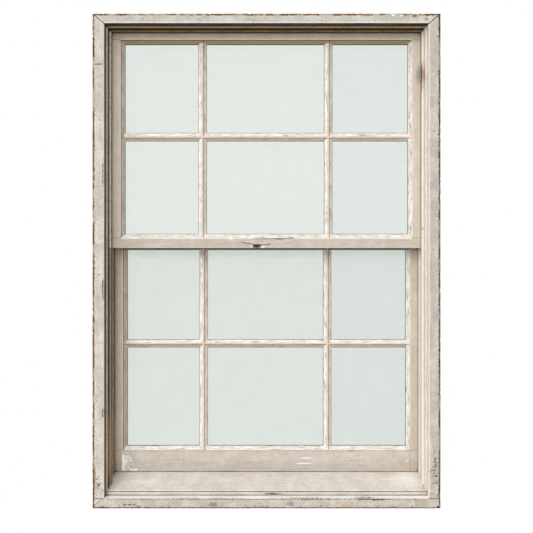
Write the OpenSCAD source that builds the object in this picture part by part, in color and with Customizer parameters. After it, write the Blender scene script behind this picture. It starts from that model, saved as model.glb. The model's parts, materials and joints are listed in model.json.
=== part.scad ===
// Vertical sliding window: two six-light timber sashes in a cased frame.
// X runs to the right seen from outside, Y runs into the room, Z is up.
// The origin is the middle of the sill's underside. Depths are counted from the face of the casing.

/* [Overall] */
// Width over the side casings
overall_w = 1020; // [940:5:1200]
// Height from the underside of the sill to the top of the head casing
overall_h = 1450; // [1380:5:1700]

/* [Casing] */
// Thickness of the casing boards, front to back
casing_t = 28; // [20:1:40]
// Width of the side casings
side_casing_w = 35; // [30:1:60]
// Height of the head casing
head_casing_h = 30; // [28:1:60]
// Height of the bottom casing at its face
bottom_casing_h = 30; // [24:1:36]
// Rise of the bottom casing's top edge from its face to the sill
bottom_casing_rise = 2.6; // [0.4:0.2:5]
// Radius of the worn outer arris round the casing
casing_round = 6.5; // [2:0.5:10]
// Bevel on the inner arris round the casing
casing_ease = 2; // [0.5:0.5:4]

/* [Frame] */
// Thickness of the jambs
jamb_t = 25; // [22:1:32]
// Depth to which the head jamb is housed into the side jambs
housing_d = 8; // [7:0.5:12]
// Depth of the thin front part of the blind stop
blind_front_d = 27; // [18:1:40]
// Depth of the thick back part of the blind stop
blind_back_d = 12; // [8:1:20]
// How far the front part of the blind stop stands in from the jamb
blind_front_lap = 7; // [3:0.5:9]
// How far the back part of the blind stop stands in from the jamb
blind_back_lap = 12.5; // [10:0.5:16]
// Thickness of the parting bead
parting_t = 13; // [10:0.5:18]
// How far the parting bead stands in from the jamb
parting_lap = 14; // [10:0.5:17]
// Depth of the groove that holds the parting bead
parting_groove_d = 6; // [4:0.5:6.5]
// Thickness of the inner stop
inner_stop_t = 13; // [10:0.5:20]
// How far the inner stop stands in from the jamb
inner_stop_lap = 13; // [10:0.5:17]
// Radius of the moulding on the inner stop
inner_stop_r = 7; // [3:0.5:9]
// Height of the stop on the sill
sill_stop_h = 16; // [13:0.5:17]

/* [Sill] */
// Height at which the weathered top of the sill meets its front
sill_front_h = 48.3; // [44:0.1:60]
// Slope of the weathered top, degrees
sill_slope = 21.5; // [14:0.5:24]
// Radius of the nose at the sill's front edge
sill_nose_r = 2.5; // [1:0.25:3]
// Height of the groove under the nose
sill_groove_h = 2; // [1:0.25:3]
// Depth of the groove under the nose
sill_groove_d = 2; // [1:0.25:5]
// Width of the water bar groove in the underside
bar_groove_w = 6; // [4:0.5:12]
// Depth of the water bar groove in the underside
bar_groove_d = 10; // [4:0.5:20]

/* [Sashes] */
// Thickness of both sashes
sash_t = 35; // [33:1:45]
// Clearance of a sash in its track, front and back
sash_play = 1.5; // [0.5:0.1:3]
// Clearance between a sash's edges and the side jambs
edge_play = 1.5; // [0.5:0.1:3]
// Gap between the bottom rail and the sill
sill_play = 0.3; // [0.2:0.1:2]
// Gap between the upper sash and the head jamb
head_play = 0.3; // [0.2:0.1:2]
// Face width of the stiles, up to the glazing rebate
stile_w = 37.5; // [36:0.5:60]
// Face height of the upper sash's top rail
top_rail_w = 32.4; // [28:0.1:60]
// Face height of both meeting rails
meeting_rail_w = 30.5; // [26:0.5:32]
// Face height of the lower sash's bottom rail
bottom_rail_w = 66.3; // [58:0.1:100]
// Height of the upper sash's lower edge
meeting_z = 764; // [700:1:820]
// Height of the lower sash's top edge over the upper sash's lower edge
meeting_overlap = 38; // [36:0.5:44]
// Distance of the left glazing bar from the centre
left_bar_x = 192; // [120:0.5:220]
// Distance of the right glazing bar from the centre
right_bar_x = 185.5; // [120:0.5:220]
// Height of the cross bar in the upper sash
upper_bar_z = 1097.5; // [1000:0.5:1200]
// Height of the cross bar in the lower sash
lower_bar_z = 474; // [380:0.5:560]

/* [Glazing] */
// Width of a glazing bar
bar_w = 22.5; // [21:0.5:32]
// Width of the fillet left on the face of a glazing bar
bar_fillet_w = 5; // [3:0.5:8]
// Depth of the glazing rebate
rebate_d = 16; // [12:0.5:18]
// Width of the glazing rebate in stiles and rails
rebate_w = 11; // [7:0.5:14]
// Thickness of the glass
glass_t = 3; // [2:0.25:5]
// Clearance between a pane's edges and the rebate
glass_play = 1.5; // [0.5:0.25:3]
// Radius of the ovolo moulding on the room side
ovolo_r = 8; // [4:0.5:9]
// Step between the ovolo and the room face
ovolo_quirk = 2; // [1:0.25:4]
// How far the putty starts below the sash's face
putty_drop = 1.5; // [0.5:0.25:4]
// Thickness of the putty at the sight line
putty_lip = 1; // [0.5:0.25:3]
// Share of the putty's depth by which a glazing bar's face lies behind the sash's face
bar_back_share = 0.68; // [0.3:0.02:0.8]
// Share of the depth left at a glazing bar by which its putty starts below its face
bar_step_share = 0.25; // [0.1:0.05:0.5]

/* [Joints of the sash] */
// Thickness of the stiles' tenons
tenon_t = 11; // [6:0.5:14]
// Width of the stiles' tenons
tenon_w = 18; // [10:0.5:20]
// Length of the stiles' tenons
tenon_l = 18; // [8:0.5:22]
// Clearance between each meeting rail's lip and the other sash
lip_clear = 1; // [0.5:0.1:2]
// Gap between the two bevels, measured upright
lip_gap = 3; // [1:0.25:5]
// Height of the plain edge under the upper sash's bevel
lip_edge_h = 4; // [2:0.5:8]
// Height of the bevel
lip_bevel_h = 24; // [14:0.5:25]
// Clearance between the lips' ends and the parting beads
lip_end_gap = 3; // [1:0.25:8]

/* [Cord pulleys] */
// Distance of the pulleys' axles below the head jamb
pulley_drop = 130; // [90:1:250]
// Diameter of the pulley wheels
wheel_dia = 40; // [36:1:46]
// Thickness of the pulley wheels
wheel_t = 10; // [8:0.5:11]
// How far the wheels stand out of the jamb into the cord grooves
wheel_proud = 5.5; // [3:0.25:8]
// Diameter of the axles
axle_dia = 6; // [4:0.5:8]
// Radial clearance of the axles in their cases
axle_play = 0.05; // [0.02:0.01:0.1]
// Clearance between a wheel and each cheek of its case
wheel_side_gap = 0.5; // [0.3:0.1:1]
// Thickness of the cheeks and webs of a pulley case
cheek_t = 2.5; // [2:0.25:3]
// Height of a pulley case behind its faceplate
case_h = 56; // [52:1:80]
// Width of a pulley faceplate
plate_w = 24; // [20:0.5:30]
// Height of a pulley faceplate
plate_h = 110; // [90:1:140]
// Thickness of a pulley faceplate
plate_t = 3; // [2:0.25:4]
// Radius of the cord groove in a wheel
cord_r = 3.5; // [2.5:0.25:3.75]
// Width of the cord grooves in the stiles
cord_groove_w = 14; // [12:0.5:18]
// Depth of the cord grooves in the stiles
cord_groove_d = 12; // [10:0.5:14]
// Length of the cord grooves, from the sash's top
cord_groove_l = 350; // [280:5:450]
// Diameter of the bore for the cord's knot
knot_dia = 22; // [16:0.5:24]
// Depth of the bore for the cord's knot
knot_d = 22; // [16:0.5:24]

/* [Sash bolt] */
// Height of the bolt over the upper sash's lower edge
bolt_rise = 20; // [18:0.5:21]
// Diameter of the bolt
bolt_dia = 8; // [6:0.5:10]
// Radial clearance of the bolt in its bush
bolt_play = 0.05; // [0.02:0.01:0.1]
// Travel of the bolt
bolt_travel = 20; // [18:0.5:22]
// How far the drawn bolt still stands in the lower sash's lip
bolt_lead = 6; // [4:0.5:7]
// Diameter of the bush in the lower meeting rail
bush_dia = 14; // [13:0.5:16]
// Diameter of the bush's flange
flange_dia = 28; // [22:0.5:30]
// Thickness of the bush's flange
flange_t = 3; // [2:0.25:4]
// Diameter of the bolt's knob
knob_dia = 20; // [16:0.5:26]
// Thickness of the bolt's knob
knob_t = 8; // [6:0.25:12]
// Width and height of the strike box in the upper meeting rail
strike_w = 14; // [13.5:0.5:16]
// Length of the strike box
strike_l = 15; // [12:0.5:17]
// Clearance of the bolt in its strike box
strike_play = 0.5; // [0.3:0.05:0.75]

/* [Sash lifts] */
// Distance of the lifts from the centre
lift_x = 220; // [120:1:320]
// Width of a lift
lift_w = 42; // [30:1:60]
// Height of a lift's plate
lift_h = 33; // [28:0.5:36]
// Thickness of a lift
lift_t = 3; // [2:0.25:4]
// Inner radius of a lift's hook
hook_r = 9; // [7:0.5:11]
// Height of the upturned edge of a lift's hook
hook_lip = 6; // [3:0.5:10]
// Clearance between the lifts and the stop on the sill
lift_gap = 3; // [1:0.25:5]

/* [Hidden] */

$fn = 64;

// How far cutting shapes run past what they cut
overrun = 1;
// Segments in a quarter round of a moulding
arc_steps = 6;
// Bevel on the arrises of the parting beads
bead_ease = 1.5;
// Height of the sill's lip between its groove and its nose
sill_lip_h = 1.5;
// Share of the sill's depth at which the water bar groove lies
bar_groove_share = 0.75;
// Distance of a tenon from the sash's edge
tenon_inset = 15;
// Diameter of the hub of a pulley wheel
wheel_hub_dia = 14;
// Height of the rim left beside the recess of a pulley wheel
wheel_rim_h = 3;
// Depth of the recess in each side of a pulley wheel
wheel_recess = 2;
// How far the cheeks of a pulley case reach behind the axle
cheek_back = 7;
// Gap between the bolt's knob and the bush when the bolt is home
knob_gap = 0.3;
// Bevel on the knob's edges and on the bolt's tip
knob_ease = 1.5;

paint = "#cfc6b8";
bare_paint = "#d8cfc2";
bead_paint = "#e2dacd";
putty_paint = "#e6dfd3";
glass_tint = "#dfe6e2";
iron = "#4a4038";
brass = "#a98a4e";

// Depths, counted from the face of the casing
track_d = sash_t + 2 * sash_play;
blind_step_at = casing_t + blind_front_d;
upper_track_at = blind_step_at + blind_back_d;
parting_at = upper_track_at + track_d;
lower_track_at = parting_at + parting_t;
inner_stop_at = lower_track_at + track_d;
back_at = inner_stop_at + inner_stop_t;
upper_at = upper_track_at + sash_play;
lower_at = lower_track_at + sash_play;
mid_d = (casing_t + back_at) / 2;

// Widths, counted from the centre
half_w = overall_w / 2;
jamb_x = half_w - side_casing_w;
sash_x = jamb_x - edge_play;
wall_x = sash_x - stile_w;
lip_x = jamb_x - parting_lap - lip_end_gap;

// Heights
head_z = overall_h - head_casing_h;
head_top_z = head_z + jamb_t;
upper_top_z = head_z - head_play;
upper_top_wall = upper_top_z - top_rail_w;
upper_low_wall = meeting_z + meeting_rail_w;
upper_low_sight = upper_low_wall + rebate_w;
lower_top_z = meeting_z + meeting_overlap;
lower_top_wall = lower_top_z - meeting_rail_w;
lower_low_wall = sill_top(lower_at) + sill_play + bottom_rail_w;
landing_z = sill_top(inner_stop_at);
sill_stop_z = landing_z + sill_stop_h;
pulley_z = head_z - pulley_drop;

// Glazing
bar_rebate_w = (bar_w - bar_fillet_w) / 2;
bar_half = bar_fillet_w / 2;
glass_at = rebate_d - glass_t;
putty_end = glass_at - putty_lip;
bar_face = putty_end * bar_back_share;
bar_putty = bar_face + (putty_end - bar_face) * bar_step_share;

// The edges of a light: [rebate wall, width of the rebate, depth at which its putty starts]
left_edge = [-wall_x, rebate_w, putty_drop];
right_edge = [wall_x, rebate_w, putty_drop];
function rail_edge(z) = [z, rebate_w, putty_drop];
function bar_edge(place, side) = [place + side * bar_half, bar_rebate_w, bar_putty];

// The three columns of panes and the two rows in each sash, top row first, each between two edges
pane_cols = [
    [left_edge, bar_edge(-left_bar_x, -1)],
    [bar_edge(-left_bar_x, 1), bar_edge(right_bar_x, -1)],
    [bar_edge(right_bar_x, 1), right_edge],
];
upper_rows = [
    [bar_edge(upper_bar_z, 1), rail_edge(upper_top_wall)],
    [rail_edge(upper_low_wall), bar_edge(upper_bar_z, -1)],
];
lower_rows = [
    [bar_edge(lower_bar_z, 1), rail_edge(lower_top_wall)],
    [rail_edge(lower_low_wall), bar_edge(lower_bar_z, -1)],
];

// Sash bolt
bolt_z = meeting_z + bolt_rise;
upper_back = upper_at + sash_t;
lower_back = lower_at + sash_t;

// Pulleys
wheel_r = wheel_dia / 2;
wheel_x = jamb_x - wheel_proud + wheel_r;
cavity_w = wheel_t + 2 * wheel_side_gap;
case_w = cavity_w + 2 * cheek_t;

// Height of the sill's weathered top at a depth
function sill_top(d) = sill_front_h + (d - casing_t) * tan(sill_slope);

// Points of an arc about a centre, from one angle to another
function arc(c, r, from, to) = [
    for (i = [0:arc_steps])
        let (a = from + (to - from) * i / arc_steps)
            [c[0] + r * cos(a), c[1] + r * sin(a)]
];

function reversed(points) = [for (i = [len(points) - 1:-1:0]) points[i]];

// Edge of a sash member towards the light, from its outer face to the room face.
// Points are [distance from the member's base, depth behind the sash's face].
function moulded_edge(sight, rebate, face = 0) = concat(
    [[sight - rebate, face], [sight - rebate, rebate_d], [sight, rebate_d]],
    arc([sight - ovolo_r, sash_t - ovolo_quirk - ovolo_r], ovolo_r, 0, 90),
    [[sight - ovolo_r, sash_t]]
);

// The same edge with a square room side
function square_edge(sight, rebate) = [
    [sight - rebate, 0], [sight - rebate, rebate_d], [sight, rebate_d], [sight, sash_t]
];

// Section of a member with a plain back and an edge towards the light
function member(edge) = concat([[0, 0]], edge, [[0, sash_t]]);

// Section of a glazing bar about its centre line
function bar_section() =
    let (edge = moulded_edge(bar_w / 2, bar_rebate_w, bar_face))
        concat(edge, [for (p = reversed(edge)) [-p[0], p[1]]]);

// Turns a section into plan points [x, depth] or upright points [depth, z]
function in_plan(section, x, dir, at) = [for (p = section) [x + dir * p[0], at + p[1]]];
function in_height(section, z, dir, at) = [for (p = section) [at + p[1], z + dir * p[0]]];

// Extrudes a plan drawn in [x, depth] between two heights
module upright(z0, z1) {
    translate([0, -mid_d, z0]) linear_extrude(z1 - z0) children();
}

// Extrudes a section drawn in [depth, z] between two places across the window
module across(x0, x1) {
    translate([x0, -mid_d, 0]) rotate([90, 0, 90]) linear_extrude(x1 - x0) children();
}

// Extrudes a front view drawn in [x, z] between two depths
module facing(d0, d1) {
    translate([0, d1 - mid_d, 0]) rotate([90, 0, 0]) linear_extrude(d1 - d0) children();
}

// Mirrors a right-hand piece for the left side
module on_side(side) {
    if (side < 0)
        mirror([1, 0, 0]) children();
    else
        children();
}

// Keeps what lies above the sill's top
module above_sill() {
    difference() {
        children();
        across(-half_w, half_w)
            polygon([
                [0, -overrun], [0, sill_top(0)], [inner_stop_at, landing_z],
                [back_at + overrun, landing_z], [back_at + overrun, -overrun],
            ]);
    }
}

// Mitres a side piece under the head: the mitre runs from a back corner [x, z] inwards by a reach
module side_mitre(corner, reach_x, reach_z) {
    intersection() {
        children();
        facing(-overrun, back_at + overrun)
            polygon([
                [corner[0], 0], corner,
                [corner[0] - reach_x, corner[1] - reach_z], [corner[0] - reach_x, 0],
            ]);
    }
}

// Mitres a head piece at both ends to match
module head_mitre(corner, reach_x, reach_z) {
    intersection() {
        children();
        facing(-overrun, back_at + overrun)
            polygon([
                [-corner[0], corner[1]], corner,
                [corner[0] - reach_x, corner[1] - reach_z], [reach_x - corner[0], corner[1] - reach_z],
            ]);
    }
}

// Section of a casing board: [distance from the inner edge, depth]
function casing_section(w) = concat(
    [[0, casing_t], [0, casing_ease], [casing_ease, 0]],
    arc([w - casing_round, casing_round], casing_round, -90, 0),
    [[w, casing_t]]
);

module side_casing(side) {
    on_side(side)
        side_mitre([half_w, overall_h], side_casing_w, head_casing_h)
            intersection() {
                upright(0, overall_h)
                    polygon([for (p = casing_section(side_casing_w)) [jamb_x + p[0], p[1]]]);
                across(-half_w, half_w)
                    polygon([
                        [0, bottom_casing_h], [casing_t, bottom_casing_h + bottom_casing_rise],
                        [casing_t, overall_h], [0, overall_h],
                    ]);
            }
}

module head_casing() {
    color(paint)
        head_mitre([half_w, overall_h], side_casing_w, head_casing_h)
            across(-half_w, half_w)
                polygon([for (p = casing_section(head_casing_h)) [p[1], head_z + p[0]]]);
}

module bottom_casing() {
    color(paint)
        intersection() {
            across(-half_w, half_w)
                polygon(concat(
                    [[casing_t, 0], [casing_t, bottom_casing_h + bottom_casing_rise], [0, bottom_casing_h]],
                    arc([casing_round, casing_round], casing_round, 180, 270)
                ));
            upright(0, bottom_casing_h + bottom_casing_rise)
                polygon(concat(
                    [[-half_w, casing_t]],
                    arc([-half_w + casing_round, casing_round], casing_round, 180, 270),
                    arc([half_w - casing_round, casing_round], casing_round, 270, 360),
                    [[half_w, casing_t]]
                ));
        }
}

module left_casing() { color(paint) side_casing(-1); }
module right_casing() { color(paint) side_casing(1); }

// The weathered sill: groove and nose on its front, level landing under the inner stop
module sill() {
    nose_z = sill_front_h + sill_nose_r * (tan(sill_slope) - 1 / cos(sill_slope));
    groove_top = nose_z - sill_lip_h;
    bar_groove_at = casing_t + (back_at - casing_t) * bar_groove_share;
    color(bare_paint)
        across(-jamb_x - jamb_t, jamb_x + jamb_t)
            polygon(concat(
                [
                    [casing_t, 0],
                    [casing_t, groove_top - sill_groove_h],
                    [casing_t + sill_groove_d, groove_top - sill_groove_h],
                    [casing_t + sill_groove_d, groove_top],
                    [casing_t, groove_top],
                ],
                arc([casing_t + sill_nose_r, nose_z], sill_nose_r, 180, 90 + sill_slope),
                [
                    [inner_stop_at, landing_z],
                    [back_at, landing_z],
                    [back_at, 0],
                    [bar_groove_at + bar_groove_w, 0],
                    [bar_groove_at + bar_groove_w, bar_groove_d],
                    [bar_groove_at, bar_groove_d],
                    [bar_groove_at, 0],
                ]
            ));
}

// A side jamb with its parting groove, the head's housing and the two pulley mortises
module side_jamb(side) {
    on_side(side)
        difference() {
            above_sill()
                upright(0, head_top_z)
                    polygon([
                        [jamb_x, casing_t], [jamb_x + jamb_t, casing_t],
                        [jamb_x + jamb_t, back_at], [jamb_x, back_at],
                    ]);
            upright(0, head_top_z + overrun)
                polygon([
                    [jamb_x - overrun, parting_at], [jamb_x + parting_groove_d, parting_at],
                    [jamb_x + parting_groove_d, lower_track_at], [jamb_x - overrun, lower_track_at],
                ]);
            facing(casing_t - overrun, back_at + overrun)
                polygon([
                    [jamb_x - overrun, head_z], [jamb_x + housing_d, head_z],
                    [jamb_x + housing_d, head_top_z + overrun], [jamb_x - overrun, head_top_z + overrun],
                ]);
            for (at = [upper_at, lower_at])
                pulley_place(at) {
                    plate_block(overrun);
                    case_block(jamb_x + jamb_t + overrun - wheel_x);
                }
        }
}

module left_jamb() { color(paint) side_jamb(-1); }
module right_jamb() { color(paint) side_jamb(1); }

module head_jamb() {
    color(paint)
        difference() {
            across(-jamb_x - housing_d, jamb_x + housing_d)
                polygon([
                    [casing_t, head_z], [back_at, head_z], [back_at, head_top_z], [casing_t, head_top_z],
                ]);
            across(-jamb_x - housing_d - overrun, jamb_x + housing_d + overrun)
                polygon([
                    [parting_at, head_z - overrun], [lower_track_at, head_z - overrun],
                    [lower_track_at, head_z + parting_groove_d], [parting_at, head_z + parting_groove_d],
                ]);
        }
}

// Section of the stepped blind stop: [distance in from the jamb, depth]
function blind_section() = [
    [0, casing_t], [blind_front_lap, casing_t], [blind_front_lap, blind_step_at],
    [blind_back_lap, blind_step_at], [blind_back_lap, upper_track_at], [0, upper_track_at],
];

// Section of the parting bead, from the bottom of its groove
function parting_section() = [
    [-parting_groove_d, parting_at],
    [parting_lap - bead_ease, parting_at], [parting_lap, parting_at + bead_ease],
    [parting_lap, lower_track_at - bead_ease], [parting_lap - bead_ease, lower_track_at],
    [-parting_groove_d, lower_track_at],
];

// Section of the inner stop with its moulded arris towards the room
function inner_section(lap) = concat(
    [[0, inner_stop_at], [lap, inner_stop_at]],
    arc([lap - inner_stop_r, back_at - inner_stop_r], inner_stop_r, 0, 90),
    [[0, back_at]]
);

// A planted stop on a side jamb, mitred under the head; let_in is what stands in the jamb's groove
module side_stop(side, section, lap, let_in) {
    on_side(side)
        side_mitre([jamb_x + let_in, head_z + let_in], lap + let_in, lap + let_in)
            upright(0, head_z + let_in)
                polygon([for (p = section) [jamb_x - p[0], p[1]]]);
}

// The same stop under the head jamb
module head_stop(section, lap, let_in) {
    head_mitre([jamb_x + let_in, head_z + let_in], lap + let_in, lap + let_in)
        across(-half_w, half_w)
            polygon([for (p = section) [p[1], head_z - p[0]]]);
}

module side_blind_stop(side) { above_sill() side_stop(side, blind_section(), blind_back_lap, 0); }
module left_blind_stop() { color(bead_paint) side_blind_stop(-1); }
module right_blind_stop() { color(bead_paint) side_blind_stop(1); }
module head_blind_stop() { color(bead_paint) head_stop(blind_section(), blind_back_lap, 0); }

module side_parting_bead(side) {
    above_sill() side_stop(side, parting_section(), parting_lap, parting_groove_d);
}
module left_parting_bead() { color(bead_paint) side_parting_bead(-1); }
module right_parting_bead() { color(bead_paint) side_parting_bead(1); }
module head_parting_bead() {
    color(bead_paint) head_stop(parting_section(), parting_lap, parting_groove_d);
}

// The side inner stops stand on the sill's stop
module side_inner_stop(side) {
    difference() {
        side_stop(side, inner_section(inner_stop_lap), inner_stop_lap, 0);
        upright(-overrun, sill_stop_z) square([overall_w * 2, back_at * 2 + overrun], center = true);
    }
}
module left_inner_stop() { color(bead_paint) side_inner_stop(-1); }
module right_inner_stop() { color(bead_paint) side_inner_stop(1); }
module head_inner_stop() { color(bead_paint) head_stop(inner_section(inner_stop_lap), inner_stop_lap, 0); }

module sill_inner_stop() {
    color(bead_paint)
        across(-jamb_x, jamb_x)
            polygon([for (p = inner_section(sill_stop_h)) [p[1], landing_z + p[0]]]);
}

// Pulleys: a cast case let into the jamb, and a wheel with its axle in one

// Moves to the axle of a right-hand pulley in the track of the sash at a depth
module pulley_place(at) {
    translate([wheel_x, at + sash_t / 2 - mid_d, pulley_z]) children();
}

// The faceplate, flush with the jamb; proud makes it a cutting shape
module plate_block(proud) {
    translate([jamb_x - wheel_x - proud, -plate_w / 2, -plate_h / 2])
        cube([plate_t + proud, plate_w, plate_h]);
}

// The case behind the faceplate, as far back as a place behind the axle
module case_block(back) {
    front = jamb_x - wheel_x + plate_t;
    translate([front, -case_w / 2, -case_h / 2]) cube([back - front, case_w, case_h]);
}

module pulley_case(side, at) {
    cavity_h = case_h - 2 * cheek_t;
    reach = wheel_dia + 2 * overrun;
    color(iron)
        on_side(side)
            pulley_place(at)
                difference() {
                    union() {
                        plate_block(0);
                        case_block(cheek_back);
                    }
                    translate([-reach / 2, -cavity_w / 2, -cavity_h / 2]) cube([reach, cavity_w, cavity_h]);
                    rotate([90, 0, 0])
                        cylinder(r = axle_dia / 2 + axle_play, h = case_w + 2 * overrun, center = true);
                }
}

module outer_left_pulley_case() { pulley_case(-1, upper_at); }
module outer_right_pulley_case() { pulley_case(1, upper_at); }
module inner_left_pulley_case() { pulley_case(-1, lower_at); }
module inner_right_pulley_case() { pulley_case(1, lower_at); }

// Half section of a wheel: axle, hub, recessed web and grooved rim
module wheel_half_section() {
    face = wheel_t / 2;
    axle_r = axle_dia / 2;
    side = [
        [axle_r, case_w / 2], [axle_r, face], [wheel_hub_dia / 2, face],
        [wheel_hub_dia / 2, face - wheel_recess],
        [wheel_r - cord_r - wheel_rim_h, face - wheel_recess],
        [wheel_r - cord_r - wheel_rim_h, face], [wheel_r, face],
    ];
    polygon(concat(
        [[0, -case_w / 2]],
        [for (p = side) [p[0], -p[1]]],
        arc([wheel_r, 0], cord_r, 270, 90),
        reversed(side),
        [[0, case_w / 2]]
    ));
}

module pulley_wheel(side, at) {
    color(iron)
        on_side(side)
            pulley_place(at)
                rotate([90, 0, 0]) rotate_extrude() wheel_half_section();
}

module outer_left_pulley_wheel() { pulley_wheel(-1, upper_at); }
module outer_right_pulley_wheel() { pulley_wheel(1, upper_at); }
module inner_left_pulley_wheel() { pulley_wheel(-1, lower_at); }
module inner_right_pulley_wheel() { pulley_wheel(1, lower_at); }

// Sashes: rails run the full width, stiles are scribed and tenoned between them

module stile_blank(side, at, z0, z1) {
    upright(z0, z1)
        polygon(in_plan(member(moulded_edge(stile_w + rebate_w, rebate_w)), side * sash_x, -side, at));
}

// Both cord grooves of a sash, open at its top, with the knot bores at their feet
module cord_grooves(at, top_z) {
    for (side = [-1, 1])
        on_side(side)
            translate([sash_x, at + sash_t / 2 - mid_d, top_z - cord_groove_l]) {
                translate([-cord_groove_d, -cord_groove_w / 2, 0])
                    cube([cord_groove_d + overrun, cord_groove_w, cord_groove_l + overrun]);
                translate([-knot_d, 0, 0])
                    rotate([0, 90, 0]) cylinder(d = knot_dia, h = knot_d + overrun);
            }
}

// The tenons at one end of both stiles, pointing down from a height by dir -1 or up by dir 1
module tenons(at, z, dir) {
    for (side = [-1, 1])
        on_side(side)
            translate([
                sash_x - tenon_inset - tenon_w, at + (sash_t - tenon_t) / 2 - mid_d,
                z - (dir < 0 ? tenon_l : overrun),
            ])
                cube([tenon_w, tenon_t, tenon_l + overrun]);
}

// Keeps the half of a sash on one side
module half_of(side) {
    intersection() {
        children();
        upright(0, overall_h)
            polygon([[0, 0], [side * half_w, 0], [side * half_w, back_at], [0, back_at]]);
    }
}

module bar_upright(x, at, z0, z1) {
    upright(z0, z1) polygon(in_plan(bar_section(), x, 1, at));
}

module bar_across(z, at) {
    across(-sash_x, sash_x) polygon(in_height(bar_section(), z, 1, at));
}

// A pane in its column and row, bedded on the rebate
module pane(col, row, at) {
    from = [col[0][0] + glass_play, row[0][0] + glass_play];
    to = [col[1][0] - glass_play, row[1][0] - glass_play];
    color(glass_tint, 0.5)
        facing(at + glass_at, at + rebate_d)
            translate(from) square(to - from);
}

// Outline of the light that the putty leaves between two edges, in [place, depth behind the sash's face]
function light_outline(from, to) = [
    [from[0], putty_drop - overrun], [from[0], from[2]],
    [from[0] + from[1], putty_end], [from[0] + from[1], glass_at + overrun],
    [to[0] - to[1], glass_at + overrun], [to[0] - to[1], putty_end],
    [to[0], to[2]], [to[0], putty_drop - overrun],
];

// The bevelled light over a pane, mitred in its corners
module light(col, row, at) {
    intersection() {
        upright(row[0][0], row[1][0]) polygon(in_plan(light_outline(col[0], col[1]), 0, 1, at));
        across(col[0][0], col[1][0]) polygon(in_height(light_outline(row[0], row[1]), 0, 1, at));
    }
}

// All the putty of a sash: a broad bevel along stiles and rails that runs past the bars, low bevels at the bars
module putty(rows, bar_z, at) {
    whole_col = [left_edge, right_edge];
    whole_row = [rows[1][0], rows[0][1]];
    low = rows[1][0][0];
    top = rows[0][1][0];
    color(putty_paint)
        difference() {
            facing(at + putty_drop, at + glass_at)
                translate([-wall_x, low]) square([2 * wall_x, top - low]);
            for (row = rows, col = pane_cols)
                light(col, row, at);
            intersection() {
                light(whole_col, whole_row, at);
                facing(at - overrun, at + bar_face) translate([-wall_x, low]) square([2 * wall_x, top - low]);
            }
            for (x = [-left_bar_x, right_bar_x])
                bar_upright(x, at, low, top);
            bar_across(bar_z, at);
        }
}

// A round bar along the bolt's axis between two depths
module bolt_round(dia, d0, d1) {
    translate([0, d1 - mid_d, bolt_z]) rotate([90, 0, 0]) cylinder(d = dia, h = d1 - d0);
}

// A square bar along the bolt's axis between two depths
module bolt_square(w, d0, d1) {
    facing(d0, d1) translate([0, bolt_z]) square(w, center = true);
}

// A round bar along the bolt's axis that tapers from one diameter to another
module bolt_taper(dia0, dia1, d0, d1) {
    translate([0, d1 - mid_d, bolt_z]) rotate([90, 0, 0]) cylinder(d1 = dia1, d2 = dia0, h = d1 - d0);
}

// Upper sash

module upper_top_rail_blank() {
    across(-sash_x, sash_x)
        polygon(in_height(member(moulded_edge(top_rail_w + rebate_w, rebate_w)), upper_top_z, -1, upper_at));
}

// The bevelled lip that closes the gap between the sashes, under the lower sash's lip
module upper_lip() {
    reach = lower_at - lip_clear;
    bevel_top = meeting_z + lip_edge_h + lip_bevel_h;
    across(-lip_x, lip_x)
        polygon([
            [upper_back - overrun, meeting_z], [reach, meeting_z], [reach, meeting_z + lip_edge_h],
            [upper_back, bevel_top], [upper_back - overrun, bevel_top],
        ]);
}

module upper_meeting_rail_blank() {
    across(-sash_x, sash_x)
        polygon(in_height(member(square_edge(meeting_rail_w + rebate_w, rebate_w)), meeting_z, 1, upper_at));
}

module upper_stile(side) {
    color(paint)
        half_of(side)
            difference() {
                union() {
                    difference() {
                        stile_blank(side, upper_at, meeting_z, upper_top_z);
                        upper_top_rail_blank();
                        upper_meeting_rail_blank();
                    }
                    tenons(upper_at, upper_top_wall, 1);
                    tenons(upper_at, upper_low_wall, -1);
                }
                cord_grooves(upper_at, upper_top_z);
            }
}

module upper_left_stile() { upper_stile(-1); }
module upper_right_stile() { upper_stile(1); }

module upper_top_rail() {
    color(paint)
        difference() {
            upper_top_rail_blank();
            tenons(upper_at, upper_top_wall, 1);
            cord_grooves(upper_at, upper_top_z);
        }
}

module upper_meeting_rail() {
    color(paint)
        difference() {
            union() {
                upper_meeting_rail_blank();
                upper_lip();
            }
            tenons(upper_at, upper_low_wall, -1);
            bolt_square(strike_w, upper_back - strike_l, lower_at);
        }
}

module upper_bar(x) {
    color(paint)
        difference() {
            bar_upright(x, upper_at, meeting_z, upper_top_z);
            upper_top_rail_blank();
            upper_meeting_rail_blank();
        }
}

module upper_left_bar() { upper_bar(-left_bar_x); }
module upper_right_bar() { upper_bar(right_bar_x); }

module upper_cross_bars() {
    color(paint)
        difference() {
            bar_across(upper_bar_z, upper_at);
            for (side = [-1, 1])
                stile_blank(side, upper_at, meeting_z, upper_top_z);
            for (x = [-left_bar_x, right_bar_x])
                bar_upright(x, upper_at, meeting_z, upper_top_z);
        }
}

module upper_pane_top_left() { pane(pane_cols[0], upper_rows[0], upper_at); }
module upper_pane_top_middle() { pane(pane_cols[1], upper_rows[0], upper_at); }
module upper_pane_top_right() { pane(pane_cols[2], upper_rows[0], upper_at); }
module upper_pane_bottom_left() { pane(pane_cols[0], upper_rows[1], upper_at); }
module upper_pane_bottom_middle() { pane(pane_cols[1], upper_rows[1], upper_at); }
module upper_pane_bottom_right() { pane(pane_cols[2], upper_rows[1], upper_at); }
module upper_putty() { putty(upper_rows, upper_bar_z, upper_at); }

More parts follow.
